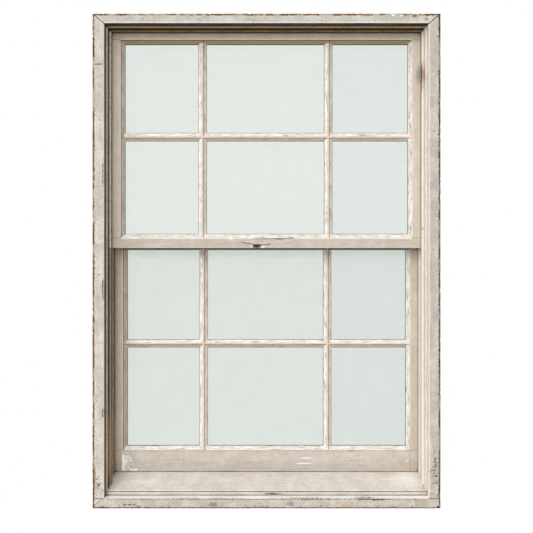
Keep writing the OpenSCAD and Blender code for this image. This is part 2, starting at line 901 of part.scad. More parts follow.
// The strike box that takes the bolt's tip
module bolt_strike() {
    color(brass)
        difference() {
            bolt_square(strike_w, upper_back - strike_l, upper_back);
            bolt_square(bolt_dia + 2 * strike_play, upper_back - strike_l - overrun, upper_back + overrun);
        }
}

// Lower sash

module lower_meeting_rail_blank() {
    across(-sash_x, sash_x)
        polygon(in_height(member(moulded_edge(meeting_rail_w + rebate_w, rebate_w)), lower_top_z, -1, lower_at));
}

// The bevelled lip over the upper sash's lip
module lower_lip() {
    reach = upper_back + lip_clear;
    fall = lip_bevel_h / (lower_at - lip_clear - upper_back);
    low_z = meeting_z + lip_edge_h + lip_gap - lip_clear * fall;
    across(-lip_x, lip_x)
        polygon(concat(
            [
                [lower_at + overrun, lower_top_z], [reach, lower_top_z],
                [reach, low_z + (lower_at - reach) * fall], [lower_at, low_z],
            ],
            low_z < lower_top_wall ? [[lower_at, lower_top_wall]] : [],
            [[lower_at + overrun, max(low_z, lower_top_wall)]]
        ));
}

// The bottom rail's underside follows the sill
module lower_bottom_rail_blank() {
    across(-sash_x, sash_x)
        polygon(concat(
            [[lower_back, sill_top(lower_back) + sill_play], [lower_at, sill_top(lower_at) + sill_play]],
            in_height(moulded_edge(rebate_w, rebate_w), lower_low_wall, 1, lower_at)
        ));
}

module lower_stile(side) {
    color(paint)
        half_of(side)
            difference() {
                union() {
                    difference() {
                        stile_blank(side, lower_at, lower_low_wall - overrun, lower_top_z);
                        lower_meeting_rail_blank();
                        lower_bottom_rail_blank();
                    }
                    tenons(lower_at, lower_top_wall, 1);
                    tenons(lower_at, lower_low_wall, -1);
                }
                cord_grooves(lower_at, lower_top_z);
            }
}

module lower_left_stile() { lower_stile(-1); }
module lower_right_stile() { lower_stile(1); }

module lower_meeting_rail() {
    color(paint)
        difference() {
            union() {
                lower_meeting_rail_blank();
                lower_lip();
            }
            tenons(lower_at, lower_top_wall, 1);
            cord_grooves(lower_at, lower_top_z);
            bolt_round(bush_dia, upper_back, lower_back + overrun);
        }
}

module lower_bottom_rail() {
    color(paint)
        difference() {
            lower_bottom_rail_blank();
            tenons(lower_at, lower_low_wall, -1);
        }
}

module lower_bar(x) {
    color(paint)
        difference() {
            bar_upright(x, lower_at, lower_low_wall - overrun, lower_top_z);
            lower_meeting_rail_blank();
            lower_bottom_rail_blank();
        }
}

module lower_left_bar() { lower_bar(-left_bar_x); }
module lower_right_bar() { lower_bar(right_bar_x); }

module lower_cross_bars() {
    color(paint)
        difference() {
            bar_across(lower_bar_z, lower_at);
            for (side = [-1, 1])
                stile_blank(side, lower_at, lower_low_wall, lower_top_z);
            for (x = [-left_bar_x, right_bar_x])
                bar_upright(x, lower_at, lower_low_wall, lower_top_z);
        }
}

module lower_pane_top_left() { pane(pane_cols[0], lower_rows[0], lower_at); }
module lower_pane_top_middle() { pane(pane_cols[1], lower_rows[0], lower_at); }
module lower_pane_top_right() { pane(pane_cols[2], lower_rows[0], lower_at); }
module lower_pane_bottom_left() { pane(pane_cols[0], lower_rows[1], lower_at); }
module lower_pane_bottom_middle() { pane(pane_cols[1], lower_rows[1], lower_at); }
module lower_pane_bottom_right() { pane(pane_cols[2], lower_rows[1], lower_at); }
module lower_putty() { putty(lower_rows, lower_bar_z, lower_at); }

// The bush that guides the bolt through the lower meeting rail
module bolt_bush() {
    color(brass)
        difference() {
            union() {
                bolt_round(bush_dia, lower_at, lower_back);
                bolt_round(flange_dia, lower_back, lower_back + flange_t - knob_ease);
                bolt_taper(flange_dia, flange_dia - 2 * knob_ease,
                    lower_back + flange_t - knob_ease, lower_back + flange_t);
            }
            bolt_round(bolt_dia + 2 * bolt_play, lower_at - overrun, lower_back + flange_t + overrun);
        }
}

// The bolt, drawn: its tip stands in the lower sash's lip and its knob clear of the bush
module sash_bolt() {
    tip = lower_at - bolt_lead;
    knob = lower_back + flange_t + knob_gap + bolt_travel;
    color(brass) {
        bolt_taper(bolt_dia - 2 * knob_ease, bolt_dia, tip, tip + knob_ease);
        bolt_round(bolt_dia, tip + knob_ease, knob);
        bolt_taper(knob_dia - 2 * knob_ease, knob_dia, knob, knob + knob_ease);
        bolt_round(knob_dia, knob + knob_ease, knob + knob_t - knob_ease);
        bolt_taper(knob_dia, knob_dia - 2 * knob_ease, knob + knob_t - knob_ease, knob + knob_t);
    }
}

// A hooked lift on the bottom rail's room face, drawn in [depth, z]
module sash_lift(x) {
    foot_z = sill_stop_z + lift_gap;
    hook = [lower_back + lift_t + hook_r, foot_z + lift_t + hook_r];
    top_z = foot_z + lift_h;
    color(iron)
        across(x - lift_w / 2, x + lift_w / 2)
            polygon(concat(
                [[lower_back, top_z], [lower_back + lift_t, top_z]],
                arc(hook, hook_r, 180, 360),
                [
                    [hook[0] + hook_r, hook[1] + hook_lip],
                    [hook[0] + hook_r + lift_t, hook[1] + hook_lip],
                ],
                arc(hook, hook_r + lift_t, 360, 180)
            ));
}

module left_sash_lift() { sash_lift(-lift_x); }
module right_sash_lift() { sash_lift(lift_x); }

sill();
left_jamb();
right_jamb();
head_jamb();
left_casing();
right_casing();
head_casing();
bottom_casing();
left_blind_stop();
right_blind_stop();
head_blind_stop();
left_parting_bead();
right_parting_bead();
head_parting_bead();
left_inner_stop();
right_inner_stop();
head_inner_stop();
sill_inner_stop();
outer_left_pulley_case();
outer_right_pulley_case();
inner_left_pulley_case();
inner_right_pulley_case();
outer_left_pulley_wheel();
outer_right_pulley_wheel();
inner_left_pulley_wheel();
inner_right_pulley_wheel();
upper_left_stile();
upper_right_stile();
upper_top_rail();
upper_meeting_rail();
upper_left_bar();
upper_right_bar();
upper_cross_bars();
upper_pane_top_left();
upper_pane_top_middle();
upper_pane_top_right();
upper_pane_bottom_left();
upper_pane_bottom_middle();
upper_pane_bottom_right();
upper_putty();
bolt_strike();
lower_left_stile();
lower_right_stile();
lower_meeting_rail();
lower_bottom_rail();
lower_left_bar();
lower_right_bar();
lower_cross_bars();
lower_pane_top_left();
lower_pane_top_middle();
lower_pane_top_right();
lower_pane_bottom_left();
lower_pane_bottom_middle();
lower_pane_bottom_right();
lower_putty();
bolt_bush();
left_sash_lift();
right_sash_lift();
sash_bolt();
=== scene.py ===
"""Looks of an old vertical sliding window: weathered paint on timber, puttied panes, iron and brass fittings.

Sizes are in millimetres where nothing else is said.
"""

import json
import logging
import math
from dataclasses import dataclass
from enum import Enum
from functools import cached_property
from typing import Any, Callable

import bmesh
import bpy
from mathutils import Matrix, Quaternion, Vector

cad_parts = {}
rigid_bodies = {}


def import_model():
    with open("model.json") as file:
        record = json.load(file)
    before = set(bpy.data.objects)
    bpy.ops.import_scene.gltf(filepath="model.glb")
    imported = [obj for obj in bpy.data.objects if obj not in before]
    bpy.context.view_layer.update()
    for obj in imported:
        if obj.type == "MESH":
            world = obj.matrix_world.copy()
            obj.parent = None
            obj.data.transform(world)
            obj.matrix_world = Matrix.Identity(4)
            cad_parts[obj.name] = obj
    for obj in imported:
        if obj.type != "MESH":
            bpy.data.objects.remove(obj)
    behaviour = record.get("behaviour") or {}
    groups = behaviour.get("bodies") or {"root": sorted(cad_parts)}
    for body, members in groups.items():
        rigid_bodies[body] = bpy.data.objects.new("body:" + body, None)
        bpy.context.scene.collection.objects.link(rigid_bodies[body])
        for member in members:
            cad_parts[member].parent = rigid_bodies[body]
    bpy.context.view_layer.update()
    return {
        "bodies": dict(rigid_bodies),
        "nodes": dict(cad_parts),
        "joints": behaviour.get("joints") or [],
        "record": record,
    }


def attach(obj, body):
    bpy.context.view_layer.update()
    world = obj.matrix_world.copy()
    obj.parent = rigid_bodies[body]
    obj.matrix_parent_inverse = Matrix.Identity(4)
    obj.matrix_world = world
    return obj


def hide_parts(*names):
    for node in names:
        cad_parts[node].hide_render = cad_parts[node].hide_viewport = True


LOG = logging.getLogger("sliding_window")
MM = 0.001
MID_DEPTH = 98.5
PAINT_SHINE = 0.1

Frame = dict[str, Any]
Node = bpy.types.Node
Material = bpy.types.Material
Pair = tuple[float, float]
Triple = tuple[float, float, float]
Lines = tuple[float, ...]
Piece = bpy.types.Object


class Way(Enum):
    """A way that a face looks."""

    LEFT = (-1.0, 0.0, 0.0)
    RIGHT = (1.0, 0.0, 0.0)
    OUT = (0.0, -1.0, 0.0)
    ROOM = (0.0, 1.0, 0.0)
    DOWN = (0.0, 0.0, -1.0)
    UP = (0.0, 0.0, 1.0)


class Grain(Enum):
    """The way the timber's grain runs in a piece, with the pattern's stretch along X, Y and Z."""

    ACROSS = (0.045, 1.0, 1.0)
    UPRIGHT = (1.0, 1.0, 0.045)


class Tone(Enum):
    """The colour of a fine line on the paint, a dark line or a painted highlight, and the least share of it that its
    patchiness leaves.
    """

    DARK = ("33281e", 0.6)
    # A painted highlight: a pale line where light catches an arris.
    RUBBED = ("f6f2ea", 0.35)


class Side(Enum):
    """A side of the window seen from outside, or both."""

    LEFT = -1.0
    RIGHT = 1.0
    BOTH = 0.0


def linear(colour: str) -> tuple[float, float, float, float]:
    """Turns an sRGB hex colour into linear RGBA.

    Args:
        colour: Six hex digits.

    Returns:
        Linear red, green and blue, and an alpha of 1.
    """
    parts = [int(colour[i:i + 2], 16) / 255 for i in (0, 2, 4)]
    red, green, blue = (c / 12.92 if c <= 0.04045 else ((c + 0.055) / 1.055) ** 2.4 for c in parts)
    return red, green, blue, 1.0


def depth(mm: float) -> float:
    """Gives the Y of a depth behind the casing's face."""
    return (mm - MID_DEPTH) * MM


@dataclass(frozen=True)
class Noise:
    """A cloudy pattern: the size of its clouds, its octaves and the strength of the finer ones."""

    size: float
    detail: float
    rough: float


class Tree:
    """A node tree in the making, with short ways to add the nodes that the finishes share."""

    HOLLOW_SAMPLES = 8

    def __init__(self, owner: Material | bpy.types.World) -> None:
        """Starts an empty tree for a material or world."""
        owner.use_nodes = True
        self.owner = owner
        self.web = owner.node_tree
        self.web.nodes.clear()

    @cached_property
    def place(self) -> Node:
        """The texture coordinates."""
        return self.add("TexCoord", {})

    @cached_property
    def xyz(self) -> Node:
        """The place on the window as X, Y and Z."""
        return self.add("SeparateXYZ", {0: (self.place, "Object")})

    def add(self, kind: str, inputs: dict[int | str, Any], **settings: Any) -> Node:
        """Adds a node with its settings and links.

        Args:
            kind: The node's type, without its ShaderNode prefix.
            inputs: Input names or numbers, each with a value, a node, or a node and one of its outputs.
            **settings: The node's own properties.

        Returns:
            The new node.
        """
        node = self.web.nodes.new(f"ShaderNode{kind}")
        for name, value in settings.items():
            setattr(node, name, value)
        for key, value in inputs.items():
            if isinstance(value, Node):
                self.web.links.new(next(o for o in value.outputs if o.enabled), node.inputs[key])
            elif isinstance(value, tuple) and isinstance(value[0], Node):
                self.web.links.new(value[0].outputs[value[1]], node.inputs[key])
            else:
                node.inputs[key].default_value = value
        return node

    def math(self, operation: str, *values: Any, clamp: bool = False) -> Node:
        """Adds a sum of up to three values, held between 0 and 1 if clamp is set."""
        return self.add("Math", dict(enumerate(values)), operation=operation, use_clamp=clamp)

    def dot(self, vector: Any, way: Triple) -> tuple[Node, str]:
        """Gives the length of a vector along a way, as a node's output."""
        return self.add("VectorMath", {0: vector, 1: way}, operation="DOT_PRODUCT"), "Value"

    def facing(self, way: Way) -> tuple[Node, str]:
        """Gives how squarely a face looks one way, as a node's output."""
        return self.dot((self.place, "Normal"), way.value)

    def noise(self, pattern: Noise, stretch: Triple = (1.0, 1.0, 1.0)) -> Node:
        """Adds a cloudy pattern, as dense along X, Y and Z as the stretch says."""
        vector = self.add("Mapping", {"Vector": (self.place, "Object"), "Scale": stretch})
        return self.add("TexNoise", {
            "Vector": vector, "Scale": 1 / (pattern.size * MM), "Detail": pattern.detail, "Roughness": pattern.rough})

    def ramp(self, value: Any, span: Pair, start: float = 0.0, end: float = 1.0, smooth: bool = False) -> Node:
        """Adds a ramp that runs from start to end while the value crosses the span, and eases if smooth."""
        return self.add("MapRange", {0: value, 1: span[0], 2: span[1], 3: start, 4: end},
                        interpolation_type="SMOOTHSTEP" if smooth else "LINEAR")

    def mix(self, share: Any, under: Any, over: Any) -> Node:
        """Lays a share of one colour over another, each a node or a hex colour."""
        under, over = (linear(colour) if isinstance(colour, str) else colour for colour in (under, over))
        return self.add("Mix", {0: share, 6: under, 7: over}, data_type="RGBA")

    def hollow(self, reach: float, span: Pair, share: float) -> Node:
        """Masks a share of the hollows with walls within reach, from the deepest of the span to the shallowest, for
        painted shade.
        """
        air = self.add("AmbientOcclusion", {"Distance": reach * MM}, samples=self.HOLLOW_SAMPLES)
        return self.ramp((air, "AO"), span, share, 0.0)

    def distance(self, across: Lines, up: Lines) -> Node:
        """Measures how far the nearest of some upright and level lines is, from their X and Z."""
        near = None
        for axis, lines in (("X", across), ("Z", up)):
            for line in lines:
                off = self.math("ABSOLUTE", self.math("SUBTRACT", (self.xyz, axis), line * MM))
                near = self.math("MINIMUM", near, off) if near else off
        return near

    def bump(self, height: Node, strength: float, deep: float) -> Node:
        """Adds a relief of some depth."""
        return self.add("Bump", {"Height": height, "Strength": strength, "Distance": deep * MM})

    def finish(self, inputs: dict[str, Any]) -> Material:
        """Closes the tree with a surface and gives its material."""
        self.add("OutputMaterial", {"Surface": self.add("BsdfPrincipled", inputs)})
        return self.owner


@dataclass(frozen=True)
class Seam:
    """A joint or crack, or a painted highlight along an arris, drawn as a line along a straight path on the front;
    wide ones are soft dark bands.

    Its places are counted outwards from the window's middle line.
    """

    CORE, FADE = 0.3, 0.7
    WORN = (0.36, 0.56)

    start: Pair
    end: Pair
    width: float = 1.6
    strength: float = 0.75
    side: Side = Side.BOTH
    tone: Tone = Tone.DARK

    def mask(self, tree: Tree, wear: Node) -> Node:
        """Masks the line.

        Args:
            tree: The paint's tree.
            wear: The noise that makes the line come and go.

        Returns:
            The mask's node.
        """
        start, end = Vector(self.start) * MM, Vector(self.end) * MM
        way = (end - start).normalized()
        middle, half = (start + end) / 2, (end - start).length / 2
        if self.side is Side.BOTH:
            across = tree.math("ABSOLUTE", (tree.xyz, "X"))
        else:
            across = tree.math("MULTIPLY", (tree.xyz, "X"), self.side.value)
        here = tree.add("CombineXYZ", {0: across, 1: (tree.xyz, "Z")})
        off = tree.add("VectorMath", {0: here, 1: (middle.x, middle.y, 0.0)}, operation="SUBTRACT")
        beside = tree.math("ABSOLUTE", tree.dot(off, (-way.y, way.x, 0.0)))
        beyond = tree.math("ABSOLUTE", tree.dot(off, (way.x, way.y, 0.0)))
        line = tree.ramp(beside, (self.CORE * self.width * MM, self.FADE * self.width * MM), 1.0, 0.0)
        kept = tree.math("MULTIPLY", line, tree.math("LESS_THAN", beyond, half))
        least = self.tone.value[1]
        patchy = tree.ramp(wear, self.WORN, least * self.strength, self.strength)
        return tree.math("MULTIPLY", kept, patchy)


@dataclass(frozen=True)
class Mark:
    """A stain, chip or crack at one place on the front, with a ragged edge.

    A sparse and very ragged mark breaks up into scattered specks. One with a from_x stops short at that line.
    """

    centre: Pair
    half: Pair
    colour: str
    strength: float = 0.8
    ragged: float = 0.6
    sparse: float = 0.0
    soft: float = 0.3
    from_x: float | None = None

    def mask(self, tree: Tree, flecks: Node) -> Node:
        """Masks the patch.

        Args:
            tree: The paint's tree.
            flecks: The noise that frays the patch.

        Returns:
            The mask's node.
        """
        offsets = {}
        for number, (axis, centre, half) in enumerate(zip("XZ", self.centre, self.half)):
            off = tree.math("SUBTRACT", (tree.xyz, axis), centre * MM)
            offsets[number] = tree.math("DIVIDE", off, half * MM)
        away = tree.add("CombineXYZ", offsets)
        reach = tree.add("VectorMath", {0: away}, operation="LENGTH")
        frayed = tree.math("MULTIPLY_ADD", flecks, 2 * self.ragged, (reach, "Value"))
        rim = 1.0 + self.ragged * (1.0 - self.sparse)
        patch = tree.ramp(frayed, (rim - self.soft, rim + self.soft / 2), self.strength, 0.0)
        if self.from_x is None:
            return patch
        return tree.math("MULTIPLY", patch, tree.math("GREATER_THAN", (tree.xyz, "X"), self.from_x * MM))


@dataclass(frozen=True)
class Reveal:
    """Painted shade on faces that look one way, away from the light, or a painted highlight on faces that look
    towards it.
    """

    TURNED = (0.55, 0.9)
    PATCHES = (0.3, 0.6)
    LEAST = 0.86

    looks: Way
    colour: str
    strength: float

    def mask(self, tree: Tree, blotches: Node) -> Node:
        """Masks the faces, with blotches that break the painted shade or highlight up."""
        faces = tree.ramp(tree.facing(self.looks), self.TURNED, 0.0, self.strength)
        return tree.math("MULTIPLY", faces, tree.ramp(blotches, self.PATCHES, self.LEAST, 1.0))


@dataclass(frozen=True)
class WornEdge:
    """Bare timber where the paint has gone from the outer edge of a piece."""

    SOFT = 0.7

    half_width: float
    height: float
    reach: float
    wander: float
    timber: str
    shadow: str
    held: float = 0.0
    foot_inset: float = 0.0

    def mask(self, tree: Tree, flecks: Node) -> Node:
        """Masks the band along the edge, with flecks that fray it."""
        across = tree.math("ABSOLUTE", (tree.xyz, "X"))
        from_side = tree.math("SUBTRACT", self.half_width * MM, across)
        from_top = tree.math("SUBTRACT", self.height * MM, (tree.xyz, "Z"))
        from_foot = tree.math("ADD", (tree.xyz, "Z"), self.foot_inset * MM)
        nearest = tree.math("MINIMUM", tree.math("MINIMUM", from_side, from_top), from_foot)
        frayed = tree.math("MULTIPLY_ADD", flecks, -self.wander * MM, nearest)
        limit = self.reach - self.wander / 2
        return tree.ramp(frayed, ((limit - self.SOFT) * MM, (limit + self.SOFT) * MM), 1.0, 0.0)


@dataclass(frozen=True)
class WornPaint:
    """Oil paint brushed on softwood and weathered to a chalky film.

    It gives the eye a warm off-white with brush streaks along the grain, grey blotches, small flaked spots and
    a dull surface.
    """

    STREAK, BLOTCH, FLECK = Noise(3.6, 5.0, 0.6), Noise(38.0, 6.0, 0.62), Noise(6.0, 5.0, 0.7)
    CHECK, SPECK = Noise(2.2, 3.0, 0.5), Noise(3.4, 2.0, 0.5)
    MOTTLED, GRUBBY, FLAKED, SPLIT = (0.36, 0.66), (0.5, 0.78), (0.575, 0.67), (0.66, 0.72)
    LODGED, SHELTERED, FRONT, OUTSIDE = (0.25, 0.72), (0.3, 0.9), (0.02, 0.2), (-0.3, -0.1)
    HELD, GAPS, SPREAD, DULL = (0.42, 0.5), (0.42, 0.62), (0.3, 0.7), (0.85, 0.6)
    PITS, FLAKES = ((0.66, 0.69), (0.5, 0.58), "51463a"), ((0.34, 0.31), (0.5, 0.42), "f8f6f1")
    SPECK_GAIN, SPLIT_SHARE, RIDGE, FLAKE_DROP = 0.3, 0.7, 0.6, -0.5
    BUMP, RELIEF, SPLIT_TONE = 0.5, 0.9, "5b4e40"

    name: str
    grain: Grain
    coat: str
    shade: str
    dirt: str
    chip: str
    dirt_share: float = 0.5
    chip_share: float = 0.5
    # Painted shade on faces turned from the light, and painted highlights on faces turned to it.
    reveals: tuple[Reveal, ...] = ()
    seams: tuple[Seam, ...] = ()
    marks: tuple[Mark, ...] = ()
    edge: WornEdge | None = None
    # Painted shade: a near-black in corners within a short reach, and a warm tint in recesses within a wide reach.
    crevice: str = "2b2016"
    crevice_share: float = 0.9
    crevice_mm: float = 9.0
    shelter: str = "8f7650"
    shelter_share: float = 0.5
    shelter_mm: float = 70.0

    def build(self) -> Material:
        """Builds the material.

        Returns:
            The paint, with every layer of wear, painted shade and painted highlight on it.
        """
        tree = Tree(bpy.data.materials.new(self.name))
        streaks = tree.noise(self.STREAK, self.grain.value)
        blotches, flecks = tree.noise(self.BLOTCH), tree.noise(self.FLECK)
        mottle = tree.ramp(blotches, self.MOTTLED, smooth=True)
        flaked = tree.ramp(flecks, self.FLAKED, 0.0, self.chip_share)
        checks = tree.noise(self.CHECK, self.grain.value)
        split = tree.math("MULTIPLY", tree.ramp(checks, self.SPLIT, 0.0, self.SPLIT_SHARE), mottle)
        layers = [(tree.ramp(streaks, self.GRUBBY, 0.0, self.dirt_share), self.dirt), (flaked, self.chip),
                  (split, self.SPLIT_TONE), *self.specks(tree, blotches),
                  # Painted shade in recesses and in corners.
                  (tree.hollow(self.shelter_mm, self.SHELTERED, self.shelter_share), self.shelter),
                  (tree.hollow(self.crevice_mm, self.LODGED, self.crevice_share), self.crevice)]
        # Painted shade and painted highlights by the way faces look.
        layers += [(reveal.mask(tree, blotches), reveal.colour) for reveal in self.reveals]
        front, outside = (tree.ramp(tree.facing(Way.OUT), span) for span in (self.FRONT, self.OUTSIDE))
        for mark in self.marks:
            layers.append((tree.math("MULTIPLY", mark.mask(tree, flecks), outside), mark.colour))
        # Dark lines, and painted highlights along arrises.
        for seam in self.seams:
            line = seam.mask(tree, flecks if seam.tone is Tone.RUBBED else streaks)
            layers.append((tree.math("MULTIPLY", line, front), seam.tone.value[0]))
        if self.edge:
            held = tree.math("MULTIPLY", tree.ramp(blotches, self.HELD, self.edge.held, 0.0), front)
            worn = tree.math("SUBTRACT", self.edge.mask(tree, flecks), held, clamp=True)
            gaps = tree.math("MULTIPLY", worn, tree.ramp(streaks, self.GAPS))
            layers += [(worn, self.edge.timber), (gaps, self.edge.shadow)]
        colour = tree.mix(mottle, self.shade, self.coat)
        for mask, layer in layers:
            colour = tree.mix(mask, colour, layer)
        ridges = tree.math("MULTIPLY", streaks, self.RIDGE)
        relief = tree.math("MULTIPLY_ADD", flaked, self.FLAKE_DROP, ridges)
        return tree.finish({
            "Base Color": colour, "Roughness": tree.ramp(blotches, self.SPREAD, *self.DULL),
            "Specular IOR Level": PAINT_SHINE, "Normal": tree.bump(relief, self.BUMP, self.RELIEF)})

    def specks(self, tree: Tree, blotches: Node) -> list[tuple[Node, str]]:
        """Scatters dark pits and pale flakes in clusters that follow the blotches, as masks with their colours."""
        dots = tree.noise(self.SPECK)
        layers = []
        for level, crowd, colour in (self.PITS, self.FLAKES):
            dot = tree.ramp(dots, level, 0.0, self.chip_share + self.SPECK_GAIN)
            layers.append((tree.math("MULTIPLY", dot, tree.ramp(blotches, crowd)), colour))
        return layers


@dataclass(frozen=True)
class LinseedPutty:
    """Linseed putty knifed to a bevel and painted over.

    It gives the eye a cream slope with faint knife ripples, pale flakes, brown chips and a foot at the glass darkened
    by dirt and painted shade, with painted shade on slopes that look right or down, in hollows, along edges on the
    shaded side and above a given height.
    """

    RIPPLE, FLECK, STRETCH = Noise(16.0, 4.0, 0.55), Noise(4.5, 5.0, 0.65), 0.14
    MOTTLED, FLAKED, CHIPPED, FOOT = (0.35, 0.65), (0.47, 0.38), (0.56, 0.64), (0.3, 0.45)
    TURNED, LODGED, SPREAD, DULL = (0.1, 0.4), (0.25, 0.66), (0.3, 0.7), (0.7, 0.5)
    FLAKE_SHARE, CHIP_SHARE, FOOT_SHARE, CREVICE_SHARE, GRIME_SHARE = 0.9, 0.7, 0.8, 0.85, 0.9
    # Painted shade on slopes that look right or down, away from the light.
    STAINED = ((Way.RIGHT, 0.56), (Way.DOWN, 0.92))
    JOINT, JOINT_CORE, GRIME_RUN, CREVICE = 1.3, 0.3, 1.5, 4.0
    BUMP, RELIEF = 0.4, 1.0
    FLAKE_TONE, STAIN_TONE, CREVICE_TONE = "fcfaf6", "917d5e", "2f2418"

    name: str
    coat: str
    shade: str
    dirt: str
    # Painted shadow above this height, and painted shadow lines at these X and Z along the putty's shaded edges.
    grimy_above: float | None = None
    joint_x: Lines = ()
    joint_z: Lines = ()

    def build(self) -> Material:
        """Builds the material.

        Returns:
            The painted putty.
        """
        tree = Tree(bpy.data.materials.new(self.name))
        ripples, flecks = tree.noise(self.RIPPLE), self.flecks(tree)
        chips = tree.ramp(flecks, self.CHIPPED, 0.0, self.CHIP_SHARE)
        # Faces that hardly look out, such as the foot at the glass, take the dark colour: dirt and painted shade.
        foot = tree.ramp(tree.facing(Way.OUT), self.FOOT, self.FOOT_SHARE, 0.0)
        layers = [(tree.ramp(flecks, self.FLAKED, 0.0, self.FLAKE_SHARE), self.FLAKE_TONE),
                  (tree.math("MAXIMUM", chips, foot), self.dirt)]
        # Painted shade on slopes that look right or down.
        for looks, share in self.STAINED:
            layers.append((tree.ramp(tree.facing(looks), self.TURNED, 0.0, share), self.STAIN_TONE))
        # Painted shade in hollows, and painted shadow lines along the putty's shaded edges.
        near = tree.distance(self.joint_x, self.joint_z)
        parted = (self.JOINT_CORE * self.JOINT * MM, self.JOINT * MM)
        layers += [(tree.hollow(self.CREVICE, self.LODGED, self.CREVICE_SHARE), self.CREVICE_TONE),
                   (tree.ramp(near, parted, self.CREVICE_SHARE, 0.0), self.CREVICE_TONE)]
        # A band of painted shadow above the given height.
        if self.grimy_above:
            grimy = (self.grimy_above * MM, (self.grimy_above + self.GRIME_RUN) * MM)
            layers.append((tree.ramp((tree.xyz, "Z"), grimy, 0.0, self.GRIME_SHARE), self.CREVICE_TONE))
        colour = tree.mix(tree.ramp(ripples, self.MOTTLED), self.shade, self.coat)
        for mask, layer in layers:
            colour = tree.mix(mask, colour, layer)
        return tree.finish({
            "Base Color": colour, "Roughness": tree.ramp(ripples, self.SPREAD, *self.DULL),
            "Specular IOR Level": PAINT_SHINE, "Normal": tree.bump(ripples, self.BUMP, self.RELIEF)})

    def flecks(self, tree: Tree) -> Node:
        """Makes a noise that runs along the run of putty it is on."""
        looks = tree.add("SeparateXYZ", {0: (tree.place, "Normal")})
        across, up = (tree.math("ABSOLUTE", (looks, axis)) for axis in "XZ")
        upright = tree.math("GREATER_THAN", across, up)
        level_run = tree.noise(self.FLECK, (self.STRETCH, 1.0, 1.0))
        upright_run = tree.noise(self.FLECK, (1.0, 1.0, self.STRETCH))
        return tree.add("Mix", {0: upright, 2: (level_run, 0), 3: (upright_run, 0)}, data_type="FLOAT")


@dataclass(frozen=True)
class SheetGlass:
    """Drawn sheet glass, a little green and never quite flat, with a thin film of dust.

    It gives the eye a clear pale pane with soft waves in what it mirrors.
    """

    WAVE, DUST = Noise(90.0, 2.0, 0.4), Noise(90.0, 8.0, 0.7)
    SPREAD, SMOOTH, THIN, THICK = (0.3, 0.7), (0.01, 0.05), 0.8, 1.2
    SHADE, SHADE_RUN = "d3dad3", 34.0
    # A dark line along each pane's edge at the putty: painted shade and grime.
    RIM, RIM_CORE, RIM_RUN, RIM_SHARE = "7d857e", 0.4, 2.6, 0.75
    INDEX, BUMP, RELIEF = 1.5, 0.06, 1.0

    name: str
    tint: str
    film: float
    shaded_top: float | None = None
    sight_x: Lines = ()
    sight_z: Lines = ()

    def build(self) -> Material:
        """Builds the glass."""
        tree = Tree(bpy.data.materials.new(self.name))
        waves, dust = tree.noise(self.WAVE), tree.noise(self.DUST)
        tint: Any = self.tint
        if self.shaded_top:
            dim = ((self.shaded_top - self.SHADE_RUN) * MM, self.shaded_top * MM)
            tint = tree.mix(tree.ramp((tree.xyz, "Z"), dim, smooth=True), tint, self.SHADE)
        # Painted shade and grime along the sight lines.
        near = tree.distance(self.sight_x, self.sight_z)
        rim = (self.RIM_CORE * self.RIM_RUN * MM, self.RIM_RUN * MM)
        tint = tree.mix(tree.ramp(near, rim, self.RIM_SHARE, 0.0), tint, self.RIM)
        clear = tree.ramp(dust, self.SPREAD, 1.0 - self.THIN * self.film, 1.0 - self.THICK * self.film)
        return tree.finish({
            "Base Color": tint, "Roughness": tree.ramp(dust, self.SPREAD, *self.SMOOTH), "IOR": self.INDEX,
            "Transmission Weight": clear, "Normal": tree.bump(waves, self.BUMP, self.RELIEF)})


@dataclass(frozen=True)
class CastMetal:
    """A small cast fitting, handled and tarnished.

    It gives the eye a grainy metal, bright in some soft patches and dull brown in others.
    """

    GRIT, BLOOM = Noise(1.6, 3.0, 0.6), Noise(14.0, 6.0, 0.65)
    DULLED, SPREAD, POLISHED, TARNISHED = (0.38, 0.64), (0.3, 0.7), -0.12, 0.2
    BUMP, RELIEF = 0.35, 0.3

    name: str
    metal: str
    tarnish: str
    metallic: float
    rough: float

    def build(self) -> Material:
        """Builds the metal."""
        tree = Tree(bpy.data.materials.new(self.name))
        grit, bloom = tree.noise(self.GRIT), tree.noise(self.BLOOM)
        colour = tree.mix(tree.ramp(bloom, self.DULLED, smooth=True), self.metal, self.tarnish)
        rough = tree.ramp(bloom, self.SPREAD, self.rough + self.POLISHED, self.rough + self.TARNISHED)
        return tree.finish({
            "Base Color": colour, "Metallic": self.metallic, "Roughness": rough,
            "Normal": tree.bump(grit, self.BUMP, self.RELIEF)})


def dress(frame: Frame, material: Material, *nodes: str) -> None:
    """Puts a material on the CAD nodes of these names."""
    for name in nodes:
        piece = frame["nodes"][name]
        if not piece.material_slots:
            piece.data.materials.append(material)
        for held in piece.material_slots:
            held.material = material
        LOG.info("%s takes %s", name, material.name)


def pick(piece: Piece, kind: str, test: Callable[[Any], bool]) -> None:
    """Selects the faces, edges or vertices of the piece in edit mode that pass a test, and no others.

    Args:
        piece: The piece in edit mode.
        kind: faces, edges or verts.
        test: What the element has to pass.
    """
    mode = {"faces": "FACE", "edges": "EDGE", "verts": "VERT"}[kind]
    bpy.ops.mesh.select_mode(type=mode)
    bpy.ops.mesh.select_all(action="DESELECT")
    mesh = bmesh.from_edit_mesh(piece.data)
    for element in getattr(mesh, kind):
        element.select_set(bool(test(element)))
    mesh.select_flush_mode()
    bmesh.update_edit_mesh(piece.data)


def duplicate(piece: Piece, name: str) -> Piece:
    """Copies a piece with its own mesh, and leaves the copy active and alone in the selection."""
    bpy.ops.object.select_all(action="DESELECT")
    piece.select_set(True)
    bpy.context.view_layer.objects.active = piece
    bpy.ops.object.duplicate()
    copy = bpy.context.object
    copy.name = name
    return copy


